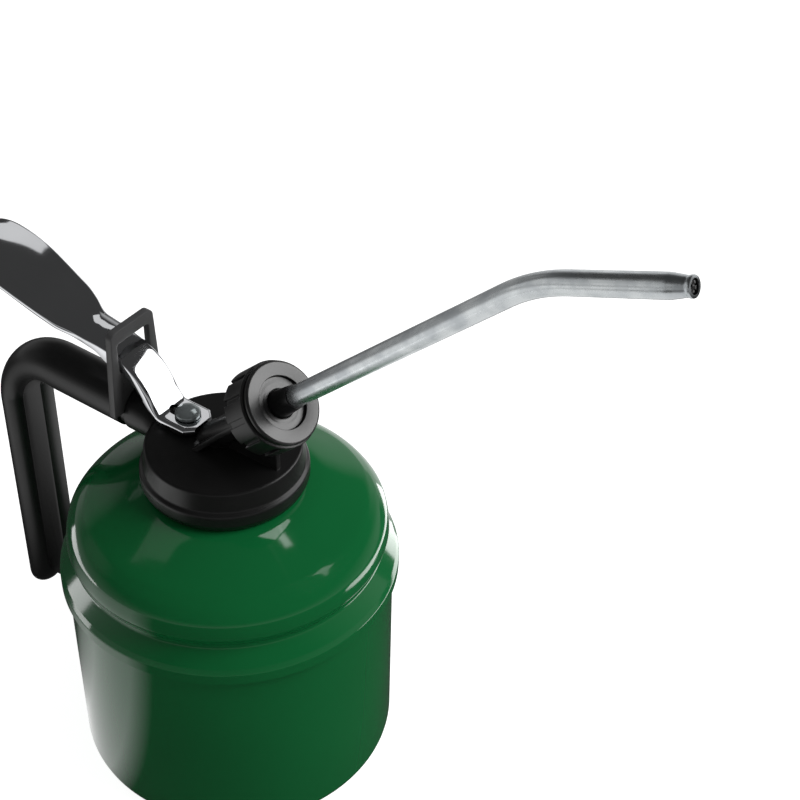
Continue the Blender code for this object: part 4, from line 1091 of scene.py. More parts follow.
    def bracket_slot(self) -> Solid:
        """The seat that the bracket straddles, cut round the arm.

        Returns:
            The cutter, in place.
        """
        inner, outer = self.arm_radius - self.seat_depth, 2 * self.arm_radius
        half = self.layout.bracket_thickness / 2 + self.layout.gap
        ring = [(inner, -half), (outer, -half), (outer, half), (inner, half)]
        cutter = Bench.turned("bracket_slot", ring, FINE_STEPS)
        lowered = Matrix.Translation((0, -self.layout.arm_drop, 0))
        Bench.seat(cutter, self.layout.crosswise(self.layout.bracket_x) @ lowered)
        return cutter

    def build(self) -> None:
        """Models the moulding as one body, dresses it and hands it over."""
        head = self.cap()
        clearance = Bench.bar("bush_clearance", self.bush_clearance, -self.cap_disc / 2, self.bush_height)
        Bench.seat(clearance, self.layout.pump())
        arm = self.arm()
        foot, nut_back = -self.layout.outlet_length - self.root, -self.layout.nut_length
        neck = self.outlet_round("boss_neck", self.boss_radius, foot, nut_back)
        for piece in (arm, neck):
            Bench.pick(clearance)
            bpy.ops.object.duplicate(linked=False)
            Bench.merge(piece, bpy.context.object, Operation.CUT)
        bpy.data.objects.remove(clearance)
        back = nut_back - self.boss_overlap
        collar = self.outlet_round("boss_collar", self.boss_collar, back, self.boss_end)
        for part in (arm, self.grip(), neck, collar, self.web(), self.ribs()):
            Bench.merge(head, part, Operation.JOIN)
        hollow = Bench.bar("cap_bore", self.cap_bore, -self.cap_disc, -2 * self.cap_height, self.bore_steps)
        Bench.seat(hollow, self.layout.head())
        Bench.merge(head, hollow, Operation.CUT)
        Bench.merge(head, self.bracket_slot(), Operation.CUT)
        well = Bench.bar("rod_hole", self.rod_hole, -self.rod_hole_reach, self.rod_hole_reach, ROUND_STEPS)
        Bench.seat(well, self.layout.pump())
        Bench.merge(head, well, Operation.CUT)
        Piece("head", "black_plastic", "pump_head", MOULDING).deliver(head)


@dataclass
class FulcrumBracket:
    """The coated steel stirrup that straddles the arm and carries the lever on its sill."""

    layout: Layout
    half: float = 8.7 * MM
    foot_half: float = 10.2 * MM
    top: float = 27.6 * MM
    foot: float = -1.0 * MM
    corner: float = 2.4 * MM
    saddle: float = 6.7 * MM
    window_half: float = 6.5 * MM
    window_top: float = 23.3 * MM
    window_corner: float = 1.0 * MM
    edge: float = 0.3 * MM
    edge_segments: int = 3
    saddle_steps: int = 32
    corner_steps: int = 8
    window_steps: int = 5

    def build(self) -> None:
        """Models the plate with its window, dresses it and hands it over."""
        thickness, drop, steps = self.layout.bracket_thickness, self.layout.arm_drop, self.corner_steps
        reach = math.asin((self.foot + drop) / self.saddle)
        outline = [(self.foot_half, self.foot)]
        outline += arc_points((0, -drop), self.saddle, reach, HALF_TURN - reach, self.saddle_steps)
        outline += [(-self.foot_half, self.foot)]
        left, right, high = self.corner - self.half, self.half - self.corner, self.top - self.corner
        outline += arc_points((left, high), self.corner, HALF_TURN, QUARTER_TURN, steps)
        outline += arc_points((right, high), self.corner, QUARTER_TURN, 0, steps)
        plate = Bench.plate("stirrup", outline, thickness)
        inner = self.window_half - self.window_corner
        low = self.layout.window_sill + self.window_corner
        high = self.window_top - self.window_corner
        window = []
        for index, centre in enumerate(((inner, low), (inner, high), (-inner, high), (-inner, low))):
            start = QUARTER_TURN * (index - 1)
            window += arc_points(centre, self.window_corner, start, start + QUARTER_TURN, self.window_steps)
        Bench.merge(plate, Bench.plate("window", window, 3 * thickness), Operation.CUT)
        Bench.bevel(plate, self.edge, self.edge_segments)
        Bench.seat(plate, self.layout.crosswise(self.layout.bracket_x))
        Piece("head", "black_steel", "fulcrum_bracket", COATED_STEEL).deliver(plate)


@dataclass
class ThumbLever:
    """The chrome-plated pressed channel, from its slotted tongue to the thumb plate."""

    layout: Layout
    sheet: float = 1.2 * MM
    tongue_reach: float = 5.6 * MM
    tongue_back: float = 5.2 * MM
    tongue_half: float = 6.1 * MM
    tongue_chamfer: float = 2.3 * MM
    lever_half: float = 5.9 * MM
    web_rise: float = 18.0 * MM
    rear_length: float = 62.5 * MM
    rear_rise: float = 17.0 * MM
    thumb_half: float = 11.6 * MM
    lip: float = 3.4 * MM
    crown: float = 3.0 * MM
    bend: float = 1.25 * MM
    lip_edge: float = 0.25 * MM
    slot_half: float = 2.2 * MM
    slot_back: float = 6.4 * MM
    notch_half: float = 1.6 * MM
    notch_mouth: float = 2.3 * MM
    notch_depth: float = 1.2 * MM
    rock_gap: float = 0.5 * MM
    cutter_reach: float = 2.0 * MM
    least_hollow: float = 0.1 * MM
    least_edge: float = 0.02 * MM
    row_steps: int = 6
    bend_steps: int = 6
    hollow_steps: int = 4
    slot_steps: int = 16
    web_points: int = 5
    # Shares of the front rise, from the tongue's bend to the web over the sill: along, up, lip
    front_shares: Sequence[tuple[float, float, float]] = (
        (0.0, 0.0, 0.44), (0.10, 0.05, 0.55), (0.20, 0.19, 0.78), (0.32, 0.42, 0.92), (0.50, 0.67, 1.05),
        (0.70, 0.84, 1.2), (0.87, 0.94, 1.5),
    )
    # Shares of the rear, from there to its end: along, up, half-width of the thumb plate, lip, crown
    rear_shares: Sequence[tuple[float, float, float, float, float]] = (
        (0.0, 0.0, 0.51, 1.75, 0.12), (0.05, 0.07, 0.51, 1.65, 0.30), (0.12, 0.15, 0.53, 1.3, 0.55),
        (0.19, 0.18, 0.55, 1.1, 0.60), (0.25, 0.21, 0.58, 1.0, 0.55), (0.32, 0.31, 0.74, 0.95, 0.50),
        (0.38, 0.41, 0.82, 0.9, 0.45), (0.45, 0.50, 0.87, 0.85, 0.40), (0.54, 0.63, 0.93, 0.8, 0.40),
        (0.64, 0.77, 0.98, 0.8, 0.40), (0.75, 0.89, 1.0, 0.8, 0.40), (0.86, 0.97, 0.98, 0.8, 0.40),
        (0.93, 1.0, 0.88, 0.8, 0.40), (0.98, 0.99, 0.66, 0.75, 0.30), (1.0, 0.98, 0.42, 0.7, 0.20),
    )

    def tongue(self) -> float:
        """The height of the tongue's top, in the pivot's frame."""
        return self.layout.tongue_rise - self.layout.window_sill

    def rod(self) -> float:
        """Where the pump's axis crosses the tongue, in the pivot's frame."""
        return self.layout.pump_x - self.layout.bracket_x

    def rows(self) -> list[tuple[float, ...]]:
        """Where the web runs and how the channel's section changes.

        Returns:
            Rows of x, height of the web's top, half-width, lip and crown, in the pivot's frame.
        """
        tongue, pump = self.tongue(), self.rod()
        bend = pump - self.tongue_back
        flat = self.sheet + self.layout.gap
        front = pump + self.tongue_reach
        web = self.web_rise - self.layout.window_sill
        narrow = self.rear_shares[0][2]
        back_crown = self.rear_shares[0][4] * self.crown
        chamfered = [
            (front, tongue, self.tongue_half - self.tongue_chamfer, flat, 0.0),
            (front - self.tongue_chamfer, tongue, self.tongue_half, flat, 0.0),
        ]
        flowed = [(front - self.tongue_chamfer - self.lip_edge, tongue, self.tongue_half, flat, 0.0)]
        flowed += [(pump, tongue, self.tongue_half, flat, 0.0)]
        for along, up, lip in self.front_shares:
            half = self.tongue_half + (self.lever_half - self.tongue_half) * along
            height = tongue + (web - tongue) * up
            flowed.append((bend * (1 - along), height, half, self.lip * lip, back_crown * up))
        for along, up, wide, lip, crown in self.rear_shares:
            spread = (wide - narrow) / (1 - narrow)
            half = self.lever_half + (self.thumb_half - self.lever_half) * spread
            x = -self.rear_length * along
            flowed.append((x, web + self.rear_rise * up, half, self.lip * lip, self.crown * crown))
        return [*chamfered, *flowing(flowed, self.row_steps)]

    def section(self, half: float, lip: float, crown: float) -> list[Point2]:
        """The channel's outline across the lever.

        Args:
            half: Half of the channel's width.
            lip: How deep its lips hang below the web's top.
            crown: How far the web's edges drop below its middle.

        Returns:
            Points as (across, height), outside first and then inside.
        """
        sheet, edge = self.sheet, self.lip_edge
        bend = min(self.bend, lip - edge)
        shoulder = half - bend
        drop = min(crown * (shoulder / half) ** 2, max(lip - bend - edge, 0.0))
        count, steps, hollow_steps = self.web_points, self.bend_steps, self.hollow_steps
        web = [index / (count + 1) for index in range(-count, count + 1)]
        outer = [(-half, -lip + edge)]
        outer += arc_points((-shoulder, -drop - bend), bend, HALF_TURN, QUARTER_TURN, steps)
        outer += [(shoulder * share, -drop * share**2) for share in web]
        outer += arc_points((shoulder, -drop - bend), bend, QUARTER_TURN, 0, steps)
        outer += [(half, -lip + edge), (half - edge, -lip)]
        hollow = max(bend - sheet, self.least_hollow)
        inner_half = half - sheet
        inner_shoulder = inner_half - hollow
        roof = min(drop + sheet + hollow, lip - edge / 2)
        inner_edge = -max(lip - edge, roof + self.least_edge)
        inner = [(inner_half + edge, -lip), (inner_half, inner_edge)]
        inner += arc_points((inner_shoulder, -roof), hollow, 0, QUARTER_TURN, hollow_steps)[:-1]
        top = -roof + hollow
        inner += [(inner_shoulder * share, top + drop * (1 - share**2)) for share in reversed(web)]
        inner += arc_points((-inner_shoulder, -roof), hollow, QUARTER_TURN, HALF_TURN, hollow_steps)[1:]
        inner += [(-inner_half, inner_edge), (-inner_half - edge, -lip), (edge - half, -lip)]
        return outer + inner

    def slot(self) -> Solid:
        """The cutter for the long slot in the tongue, which the screw slides in.

        Returns:
            The cutter, in place.
        """
        front, half, steps = self.rod(), self.slot_half, self.slot_steps
        rear = front - self.slot_back + half
        outline = arc_points((front, 0), half, -QUARTER_TURN, QUARTER_TURN, steps)
        outline += arc_points((rear, 0), half, QUARTER_TURN, 3 * QUARTER_TURN, steps)
        cutter = Bench.plate("tongue_slot", outline, 6 * self.sheet)
        Bench.seat(cutter, Matrix.Translation((0, 0, self.tongue())))
        return cutter

    def notch(self) -> Solid:
        """The cutter for the notches in the lips, which sit on the bracket's sill.

        Returns:
            The cutter, in place.
        """
        mouth, top = self.notch_mouth, -self.notch_depth
        foot = top - self.cutter_reach
        outline = [
            (-mouth, foot), (mouth, foot), (mouth, top),
            (self.notch_half, self.rock_gap), (-self.notch_half, self.rock_gap), (-mouth, top),
        ]
        cutter = Bench.plate("notch", outline, 2 * self.thumb_half)
        Bench.seat(cutter, Matrix.Rotation(QUARTER_TURN, 4, "X"))
        return cutter

    def build(self) -> None:
        """Models the channel with its slot and notches, dresses it and hands it over."""
        rows = self.rows()
        loops = []
        for index, (x, height, *section) in enumerate(rows):
            before, after = rows[max(index - 1, 0)], rows[min(index + 1, len(rows) - 1)]
            along = Vector((after[0] - before[0], 0, after[1] - before[1])).normalized()
            up = Vector((along.z, 0, -along.x))
            place = Vector((x, 0, height))
            outline = self.section(*section)
            loops.append([place + Vector((0, across, 0)) + up * high for across, high in outline])
        channel = Bench.swept("pressed_lever", loops)
        Bench.merge(channel, self.slot(), Operation.CUT)
        Bench.merge(channel, self.notch(), Operation.CUT)
        Bench.seat(channel, self.layout.pivot())
        Piece("lever", "chrome", "lever", CHROME).deliver(channel)


@dataclass
class LeverScrew:
    """The dome-head screw that hangs the rod on the tongue."""

    layout: Layout
    head_radius: float = 3.75 * MM
    head_height: float = 2.5 * MM
    rim: float = 0.6 * MM
    edge: float = 0.1 * MM
    shank: float = 1.5 * MM
    length: float = 9.5 * MM
    dome_steps: int = 24

    def build(self) -> None:
        """Models the screw, dresses it and hands it over."""
        base = self.layout.tongue_rise + self.layout.gap
        rise = arc_points((0, 0), self.head_radius, 0, QUARTER_TURN, self.dome_steps)
        low = base + self.rim
        squash = (self.head_height - self.rim) / self.head_radius
        dome = [(x, low + z * squash) for x, z in rise[:-1]]
        end = base - self.length
        outer, edge = self.head_radius, self.edge
        foot = [(outer, base + edge), (outer - edge, base), (self.shank, base)]
        profile = [(0, base + self.head_height), *dome[::-1], *foot, (self.shank, end), (0, end)]
        screw = Bench.turned("dome_screw", profile, FINE_STEPS)
        Bench.seat(screw, self.layout.pump())
        Piece("rod", "zinc", "lever_screw", SCREW_ZINC).deliver(screw)


@dataclass
class UnionNut:
    """The nut that clamps the spout: a thin dished flange, and lugs with round-ended grooves between."""

    layout: Layout
    lugs: int = 12
    outer: float = 12.3 * MM
    flange: float = 11.7 * MM
    face: float = 11.05 * MM
    flange_depth: float = 1.2 * MM
    neck: float = 0.45 * MM
    recess: float = 7.5 * MM
    recess_depth: float = 1.4 * MM
    ring: float = 0.06 * MM
    ring_start: float = 1.0 * MM
    ring_crest: float = 1.6 * MM
    ring_end: float = 0.9 * MM
    turned: float = 18 * DEGREE
    dish: float = 0.3 * MM
    hole: float = 4.2 * MM
    bore: float = 8.3 * MM
    front_wall: float = 2.4 * MM
    groove_half: float = 0.85 * MM
    groove_depth: float = 1.1 * MM
    groove_start: float = 1.6 * MM
    groove_overrun: float = 2.0 * MM
    groove_steps: int = 12
    soft: float = 0.4 * MM
    edge: float = 0.3 * MM
    flange_edge: float = 0.25 * MM
    recess_edge: float = 0.12 * MM
    hole_edge: float = 0.15 * MM
    bore_edge: float = 0.2 * MM
    crease: float = 0.1 * MM
    steps: int = 144
    fillet_steps: int = 4

    def body_profile(self) -> list[Point2]:
        """The nut's turned outline before its grooves are cut.

        Returns:
            The closed profile.
        """
        back, gap, floor = -self.layout.nut_length, self.layout.gap, -self.recess_depth
        lug_front = -self.flange_depth - self.neck
        corners = [
            Corner(self.hole, -self.front_wall),
            Corner(self.hole, floor, self.hole_edge),
            Corner(self.hole + self.ring_start, floor, self.soft),
            Corner(self.hole + self.ring_crest, self.ring + floor, self.soft),
            Corner(self.recess - self.ring_end, floor, self.soft),
            Corner(self.recess, floor, self.edge),
            Corner(self.recess, -self.dish, self.recess_edge),
            Corner(self.face, 0, self.flange_edge),
            Corner(self.flange, -self.dish, self.flange_edge),
            Corner(self.flange, -self.flange_depth, self.flange_edge),
            Corner(self.flange - self.neck, -self.flange_depth, self.crease),
            Corner(self.flange - self.neck, lug_front, self.crease),
            Corner(self.outer, lug_front - gap, self.edge),
            Corner(self.outer, back + gap, self.soft),
            Corner(self.outer - gap, back, self.crease),
            Corner(self.bore, back, self.bore_edge),
            Corner(self.bore, -self.front_wall),
        ]
        return rounded(corners, self.fillet_steps)

    def groove(self) -> Solid:
        """One round-ended groove cutter, lying along the nut's side and open at its back.

        Returns:
            The cutter, in place.
        """
        front = -self.flange_depth - self.neck - self.groove_start
        half, steps = self.groove_half, self.groove_steps
        back = -self.layout.nut_length - self.groove_overrun
        outline = [(-half, back), (half, back), *arc_points((0, front), half, 0, HALF_TURN, steps)]
        cutter = Bench.plate("groove", outline, 2 * self.groove_depth)
        Bench.seat(cutter, upright(self.outer))
        return cutter

    def build(self) -> None:
        """Models the nut, dresses it and hands it over."""
        nut = Bench.turned("union_nut_moulding", self.body_profile(), self.steps)
        Bench.merge(nut, Bench.around(self.groove(), self.lugs), Operation.CUT)
        Bench.seat(nut, self.layout.outlet() @ Matrix.Rotation(self.turned, 4, "Z"))
        Piece("union_nut", "black_plastic", "union_nut", NUT_MOULDING).deliver(nut)


@dataclass
class Spout:
    """The tapered sleeve, the bent tube with its ringed tip, and the insert in the tip."""

    layout: Layout
    tube_radius: float = 2.95 * MM
    wall: float = 0.7 * MM
    long_leg: float = 99.5 * MM
    short_leg: float = 39.4 * MM
    bend: float = 22.6 * DEGREE
    bend_radius: float = 46.0 * MM
    start: float = -3.9 * MM
    entry: float = 1.0 * MM
    entry_edge: float = 0.7 * MM
    entry_drop: float = 0.35 * MM
    taper: float = 5.5 * MM
    tip_radius: float = 2.3 * MM
    ring_radius: float = 2.5 * MM
    ring: float = 0.9 * MM
    tip_wall: float = 0.55 * MM
    sleeve_radius: float = 3.9 * MM
    sleeve_root: float = -1.4 * MM
    sleeve_end: float = 3.3 * MM
    sleeve_reach: float = 5.6 * MM
    sleeve_fillet: float = 0.3 * MM
    sleeve_edge: float = 0.15 * MM
    mouth_gap: float = 0.03 * MM
    mouth_length: float = 1.0 * MM
    mouth_edge: float = 0.05 * MM
    flange: float = 7.7 * MM
    flange_depth: float = 1.2 * MM
    insert_length: float = 3.0 * MM
    insert_recess: float = 0.4 * MM
    insert_hole: float = 0.5 * MM
    sink_width: float = 0.35 * MM
    sink_depth: float = 0.5 * MM
    sink_fillet: float = 0.1 * MM
    lobes: int = 5
    lobe_start: float = 0.75 * MM
    lobe_end: float = 3.0 * MM
    lobe_gap: float = 0.22 * MM
    lobe_flare: float = 0.4 * MM
    lobe_depth: float = 1.6 * MM
    straight_steps: int = 24
    bend_steps: int = 24
    sleeve_steps: int = 5
    insert_steps: int = 60
    insert_fillet_steps: int = 4
    # Where the taper starts: how far before its start a row lies, and how much narrower the tube is there
    taper_rows: Sequence[Point2] = ((4.0 * MM, 0.0), (0.5 * MM, 0.0), (-0.3 * MM, 0.05 * MM))
    # At the ring: ring lengths before the end, and share of the ring's rise over the tip
    ring_shares: Sequence[Point2] = (
        (1.6, 0.2), (1.25, 0.0), (1.1, 0.15), (1.0, 0.8), (0.85, 1.0), (0.278, 1.0), (0.089, 0.7), (0.0, 0.0),
    )

    def sleeve(self) -> None:
        """Models the black sleeve that the tube stands in."""
        mouth, end, back = self.tube_radius + self.mouth_gap, self.sleeve_reach, self.start
        corners = [
            Corner(mouth, end - self.mouth_length),
            Corner(mouth, end, self.mouth_edge),
            Corner(self.sleeve_end, end, self.sleeve_edge),
            Corner(self.sleeve_radius, self.sleeve_root, self.sleeve_fillet),
            Corner(self.sleeve_radius, back + self.flange_depth),
            Corner(self.flange, back + self.flange_depth, self.sleeve_edge),
            Corner(self.flange, back, self.sleeve_edge),
            Corner(self.tube_radius + self.layout.gap, back),
        ]
        sleeve = Bench.turned("spout_sleeve", rounded(corners, self.sleeve_steps), FINE_STEPS)
        Bench.seat(sleeve, self.layout.outlet())
        Piece("spout", "black_plastic", "spout_nipple", MOULDING).deliver(sleeve)

    def path(self) -> list[tuple[float, float, float, float]]:
        """Rows along the tube's middle line: x, z, direction and outer radius, in the outlet's frame.

        Returns:
            The rows, from the nut to the tip.
        """
        tube, tip = self.tube_radius, self.tip_radius
        bend_from = self.long_leg - self.bend_radius * math.tan(self.bend / 2)
        straight = self.start + self.entry
        rows = [(0.0, self.start, 0.0, tube - self.entry_drop)]
        rows += [(0.0, self.start + self.entry_edge, 0.0, tube)]
        for step in range(self.straight_steps + 1):
            rows.append((0.0, straight + (bend_from - straight) * step / self.straight_steps, 0.0, tube))
        for step in range(1, self.bend_steps + 1):
            turn = self.bend * step / self.bend_steps
            x = self.bend_radius * (1 - math.cos(turn))
            rows.append((x, bend_from + self.bend_radius * math.sin(turn), turn, tube))
        rise = self.ring_radius - tip
        outline = [(self.taper + back, tube - drop) for back, drop in self.taper_rows]
        outline += [(self.ring * back, tip + rise * share) for back, share in self.ring_shares]
        direction = Vector((math.sin(self.bend), math.cos(self.bend)))
        corner = Vector((0, self.long_leg))
        for before_end, radius in outline:
            place = corner + direction * (self.short_leg - before_end)
            rows.append((place.x, place.y, self.bend, radius))
        return rows

    def tube(self) -> None:
        """Models the bent tube with its bore."""
        rows = self.path()
        bore = self.tube_radius - self.wall
        straight = [row for row in rows if row[-1] >= self.tube_radius]
        inside = [(*row[:-1], bore) for row in (rows[0], *straight)]
        inside += [(*rows[-1][:-1], self.tip_radius - self.tip_wall)]
        loops = [
            oval(Vector((x, 0, z)), Vector((math.cos(turn), 0, -math.sin(turn))), radius, radius)
            for x, z, turn, radius in rows + inside[::-1]
        ]
        tube = Bench.swept("bent_tube", loops, ring=True)
        Bench.seat(tube, self.layout.outlet())
        Piece("spout", "zinc", "spout_tube", ZINC).deliver(tube)

    def insert(self) -> None:
        """Models the insert whose lobes grip the tip's bore round the fine hole."""
        outer = self.tip_radius - self.tip_wall - self.layout.gap
        face, back, hole = -self.insert_recess, -self.insert_length, self.insert_hole
        corners = [
            Corner(hole, back),
            Corner(hole, face - self.sink_depth, self.sink_fillet),
            Corner(hole + self.sink_width, face, self.sink_fillet),
            Corner(outer, face, self.sleeve_edge),
            Corner(outer, back),
        ]
        insert = Bench.turned("tip_insert", rounded(corners, self.insert_fillet_steps), self.insert_steps)
        start, end, gap, flare = self.lobe_start, self.lobe_end, self.lobe_gap, self.lobe_flare
        outline = [(-gap, start), (gap, start), (flare, end), (-flare, end)]
        notch = Bench.plate("lobe_notch", outline, self.lobe_depth)
        Bench.seat(notch, Matrix.Translation((0, 0, face)))
        Bench.merge(insert, Bench.around(notch, self.lobes), Operation.CUT)
        x, z, turn, _ = self.path()[-1]
        tip = Matrix.Translation((x, 0, z)) @ Matrix.Rotation(turn, 4, "Y")
        Bench.seat(insert, self.layout.outlet() @ tip)
        Piece("spout", "steel", "spout_nozzle", STEEL).deliver(insert)

    def build(self) -> None:
        """Builds the sleeve, the tube and the insert."""
        self.sleeve()
        self.tube()
        self.insert()


@dataclass(frozen=True)
class SoftBox:
    """A soft studio lamp, or with a finish's name a card that only pieces of that finish mirror.

    Its direction from the point it faces is in degrees, its size and distance are in metres.
    """

    name: str
    azimuth: float
    elevation: float
    width: float
    height: float
    radiance: float
    finish: str = ""
    distance: float = 1.1
    faces: Vector = Vector((0.01, 0, 0.11))

    def watts(self) -> float:
        """The power that gives the lamp its radiance."""
        return math.pi * self.width * self.height * self.radiance


@dataclass(frozen=True)
class Glow:
    """A pale panel of the studio that only glossy surfaces show.

    Its direction, and the angles from it where it starts to fade and is gone, are in degrees.
    """

    azimuth: float
    elevation: float
    inner: float
    outer: float
    strength: float


@dataclass(frozen=True)
class DarkSide:
    """A side of the floor that glossy surfaces show dark.

    Its direction is in degrees, and it darkens from one cosine of the angle from it to another.
    """

    azimuth: float
    begins: float
    full: float


@dataclass
class Studio:
    """Floor, surroundings, lights and camera."""

    # What the surroundings send: to plain surfaces, and to glossy ones from above and from the horizon
    plain_level: float = 0.19
    dim_level: float = 0.045
    horizon_level: float = 0.42
    horizon: tuple[float, float] = (0.03, 0.3)
    # The floor: its size, what it adds to its colour for the camera, and how it looks in glossy surfaces
    floor_size: float = 2.6
    floor_tones: tuple[Colour, Colour] = ((0.82, 0.82, 0.82), (0.78, 0.78, 0.78))
    floor_roughness: float = 0.9
    floor_specular: float = 0.1
    floor_grain: float = 300
    floor_lift: float = 0.9
    floor_level: float = 1.0
    dark_floor_level: float = 0.05
    dark_sides: tuple[DarkSide, DarkSide] = (DarkSide(82, -0.2, 0.05), DarkSide(-100, 0.64, 0.90))
    # The camera: place in metres, tilt and turn in degrees, sensor and lens in millimetres
    camera_place: tuple[float, float, float] = (0.23837, -0.26112, 0.41111)
    camera_tilt: float = 50.97
    camera_turn: float = 36.71
    camera_sensor: float = 36
    camera_lens: float = 74.25
    camera_shift: float = 0.0645
    camera_range: tuple[float, float] = (0.02, 20)
    # Name, direction, width, height, radiance and finish, then distance and point faced where they differ
    boxes: Sequence[SoftBox] = (
        SoftBox("key lamp", 115, 42, 0.62, 0.60, 7.0),
        SoftBox("wall for the chrome", 137, 27, 0.94, 1.06, 2.2, "bright chrome"),
        SoftBox("sky for the chrome", -143, 36, 0.44, 0.34, 0.65, "bright chrome"),
        SoftBox("wall for the nut", 136, 21, 1.20, 0.80, 6.8, "black nut moulding"),
        SoftBox("wall for the moulding", 138, 22, 1.20, 0.80, 2.4, "black moulding"),
        SoftBox(
            "sheet under the tube", 0, -90, 0.34, 0.42, 0.85, "zinc plate", 0.108,
            Vector((0.115, -0.10, 0.11)),
        ),
        SoftBox("wall for the tube", -46, 22, 1.00, 0.58, 0.5, "zinc plate"),
        SoftBox("second wall for the tube", -134, 22, 0.50, 0.42, 0.35, "zinc plate"),
        SoftBox("wall behind for the tube", 180, 18, 2.00, 0.90, 0.4, "zinc plate"),
        SoftBox("window on the screw", 175, 50, 0.60, 0.40, 1.6, "zinc screw"),
        SoftBox(
            "window on the enamel", -160, 66, 0.021, 0.011, 3.6, "green enamel", 0.016,
            Vector((0.019, -0.009, 0.098)),
        ),
        SoftBox("second window on the enamel", 168, 67, 0.34, 0.07, 5.0, "green enamel"),
        SoftBox("small card on the right", 122, 45, 0.16, 0.22, 2.2, "green enamel"),
        SoftBox("card over the front left", -90, 60, 0.62, 0.30, 0.42, "green enamel"),
        SoftBox("strip low on the left", -66, -9, 0.30, 0.06, 4.5, "green enamel", 0.45),
        SoftBox("strip low on the right", 148, -27, 0.24, 0.05, 5.0, "green enamel", 0.2),
    )
    glows: Sequence[Glow] = (Glow(-160, 8, 8, 18, 0.5), Glow(-66, 20, 8, 20, 0.2), Glow(-98, 15, 8, 18, 0.3))

    @staticmethod
    def heading(azimuth: float, elevation: float) -> Vector:
        """The direction from the can: azimuth 0 is towards -Y and 90 towards +X, in degrees."""
        turn, rise = azimuth * DEGREE, elevation * DEGREE
        return Vector((math.sin(turn) * math.cos(rise), -math.cos(turn) * math.cos(rise), math.sin(rise)))

    def floor(self) -> None:
        """Lays the pale floor, which keeps the object's shadow."""
        Bench.clear()
        radius = self.floor_size / 2
        bpy.ops.mesh.primitive_circle_add(vertices=FINE_STEPS, radius=radius, fill_type="NGON")
        ground = bpy.context.object
        ground.name = "floor"
        ground.data.materials.append(self.paper())

    def paper(self) -> bpy.types.Material:
        """The floor's material: white to the camera, and with its dark sides in glossy surfaces.

        Returns:
            The material.
        """
        paper = bpy.data.materials.new("white paper")
        paper.use_nodes = True
        sheet = Sheet(paper.node_tree)
        nodes = paper.node_tree.nodes
        shader = nodes["Principled BSDF"]
        grain = PatternBook.place(sheet, Pattern.GRAIN, self.floor_grain)
        sheet.wire(sheet.mix(grain, *self.floor_tones), shader.inputs["Base Color"])
        shader.inputs["Roughness"].default_value = self.floor_roughness
        shader.inputs["Specular IOR Level"].default_value = self.floor_specular
        path = sheet.add("LightPath")
        lift = sheet.add("Emission")
        level = sheet.ramp(path.outputs["Is Camera Ray"], 0, 1, 0, self.floor_lift)
        sheet.wire(level, lift.inputs["Strength"])
        lit = sheet.add("AddShader")
        sheet.wire(shader.outputs[0], lit.inputs[0])
        sheet.wire(lift.outputs[0], lit.inputs[1])
        mirrored = sheet.add("Emission")
        sheet.wire(self.dark_ring(sheet), mirrored.inputs["Strength"])
        final = sheet.choose(path.outputs["Is Glossy Ray"], lit.outputs[0], mirrored.outputs[0])
        sheet.wire(final, nodes["Material Output"].inputs["Surface"])
        return paper

    def dark_ring(self, sheet: Sheet) -> Socket:
        """How bright glossy surfaces see the floor, by the side that a place on it lies on.

        Args:
            sheet: The floor's nodes.

        Returns:
            The strength's socket.
        """
        place = sheet.add("TexCoord").outputs["Object"]
        distance = sheet.add("VectorMath", operation="LENGTH")
        sheet.wire(place, distance.inputs[0])
        sides = []
        for side in self.dark_sides:
            reach = sheet.along(place, self.heading(side.azimuth, 0))
            cosine = sheet.maths("DIVIDE", reach, distance.outputs["Value"])
            sides.append(sheet.ramp(cosine, side.begins, side.full, self.floor_level, self.dark_floor_level))
        return sheet.maths("MINIMUM", *sides)

    def panels(self, sheet: Sheet) -> Socket:
        """Adds up what glossy surfaces see of the studio.

        Args:
            sheet: The world's nodes.

        Returns:
            The strength's socket, which changes with the direction.
        """
        direction = sheet.add("TexCoord").outputs["Generated"]
        rise = sheet.along(direction, Vector((0, 0, 1)))
        total = sheet.ramp(rise, *self.horizon, self.horizon_level, self.dim_level)
        for glow in self.glows:
            cosine = sheet.along(direction, self.heading(glow.azimuth, glow.elevation))
            low, high = math.cos(glow.outer * DEGREE), math.cos(glow.inner * DEGREE)
            total = sheet.maths("MAXIMUM", total, sheet.ramp(cosine, low, high, 0, glow.strength))
        return total

    def surroundings(self) -> None:
        """Makes the world: white to the camera, dim with pale panels in glossy surfaces, else plain."""
        world = bpy.data.worlds.new("studio")
        bpy.context.scene.world = world
        world.use_nodes = True
        sheet = Sheet(world.node_tree)
        nodes = world.node_tree.nodes
        mirrored = nodes["Background"]
        sheet.wire(self.panels(sheet), mirrored.inputs["Strength"])
        plain = sheet.add("Background")
        plain.inputs["Strength"].default_value = self.plain_level
        white = sheet.add("Background")
        for node in (mirrored, plain, white):
            node.inputs["Color"].default_value = (1, 1, 1, 1)
        path = sheet.add("LightPath")
        indirect = sheet.choose(path.outputs["Is Glossy Ray"], plain.outputs[0], mirrored.outputs[0])
        final = sheet.choose(path.outputs["Is Camera Ray"], indirect, white.outputs[0])
        sheet.wire(final, nodes["World Output"].inputs["Surface"])

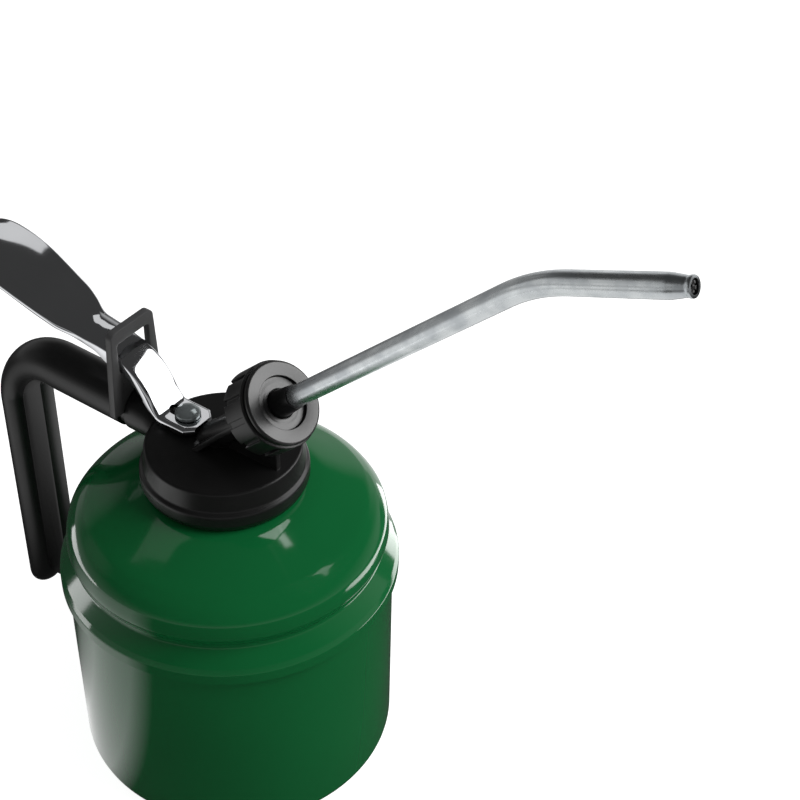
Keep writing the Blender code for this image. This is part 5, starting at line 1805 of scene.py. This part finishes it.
    @staticmethod
    def show_only(lamp: bpy.types.Object, finish: str) -> None:
        """Makes a lamp a card that only the pieces of one finish mirror.

        Args:
            lamp: The lamp.
            finish: The finish's name.
        """
        lamp.visible_diffuse = False
        seen_by = bpy.data.collections.new(lamp.name)
        for piece in bpy.data.objects:
            if piece.type == "MESH" and piece.data.materials[:1] == [bpy.data.materials.get(finish)]:
                seen_by.objects.link(piece)
        lamp.light_linking.receiver_collection = seen_by

    def light(self) -> None:
        """Places the key lamp, which nothing mirrors, and the cards, which are only mirrored."""
        for lamp in self.boxes:
            Bench.clear()
            bpy.ops.object.light_add(type="AREA")
            made = bpy.context.object
            made.name = lamp.name
            made.data.shape = "RECTANGLE"
            made.data.size, made.data.size_y = lamp.width, lamp.height
            made.data.energy = lamp.watts()
            outward = self.heading(lamp.azimuth, lamp.elevation)
            made.location = lamp.faces + outward * lamp.distance
            made.rotation_euler = (-outward).to_track_quat("-Z", "Y").to_euler()
            made.visible_camera = False
            made.visible_glossy = bool(lamp.finish)
            if lamp.finish:
                self.show_only(made, lamp.finish)

    def camera(self) -> None:
        """Sets the camera at the photograph's angle."""
        rotation = (self.camera_tilt * DEGREE, 0, self.camera_turn * DEGREE)
        bpy.ops.object.camera_add(location=self.camera_place, rotation=rotation)
        camera = bpy.context.object
        camera.name = "camera"
        camera.data.sensor_width = self.camera_sensor
        camera.data.lens = self.camera_lens
        camera.data.shift_x = self.camera_shift
        camera.data.clip_start, camera.data.clip_end = self.camera_range
        bpy.context.scene.camera = camera

    def build(self) -> None:
        """Sets up everything round the object."""
        self.camera()
        self.floor()
        self.surroundings()
        self.light()
        bpy.context.scene.view_settings.view_transform = "Standard"


def corners(bounds: tuple[Vector, Vector]) -> list[list[float]]:
    """A box's two corners as plain lists."""
    return [list(corner) for corner in bounds]


def main() -> None:
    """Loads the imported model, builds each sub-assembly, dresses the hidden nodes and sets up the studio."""
    logging.basicConfig(level=logging.INFO, format="%(name)s: %(message)s")
    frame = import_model()
    Bench.clear()
    layout = Layout()
    PaintedCan().build()
    PumpHead(layout).build()
    FulcrumBracket(layout).build()
    ThumbLever(layout).build()
    LeverScrew(layout).build()
    UnionNut(layout).build()
    Spout(layout).build()
    for node, finish in HIDDEN_FINISHES.items():
        finish.dress(frame["nodes"][node])
        LOG.info("%s: carried over in %s", node, finish.name)
    Studio().build()


if __name__ == "__main__":
    main()
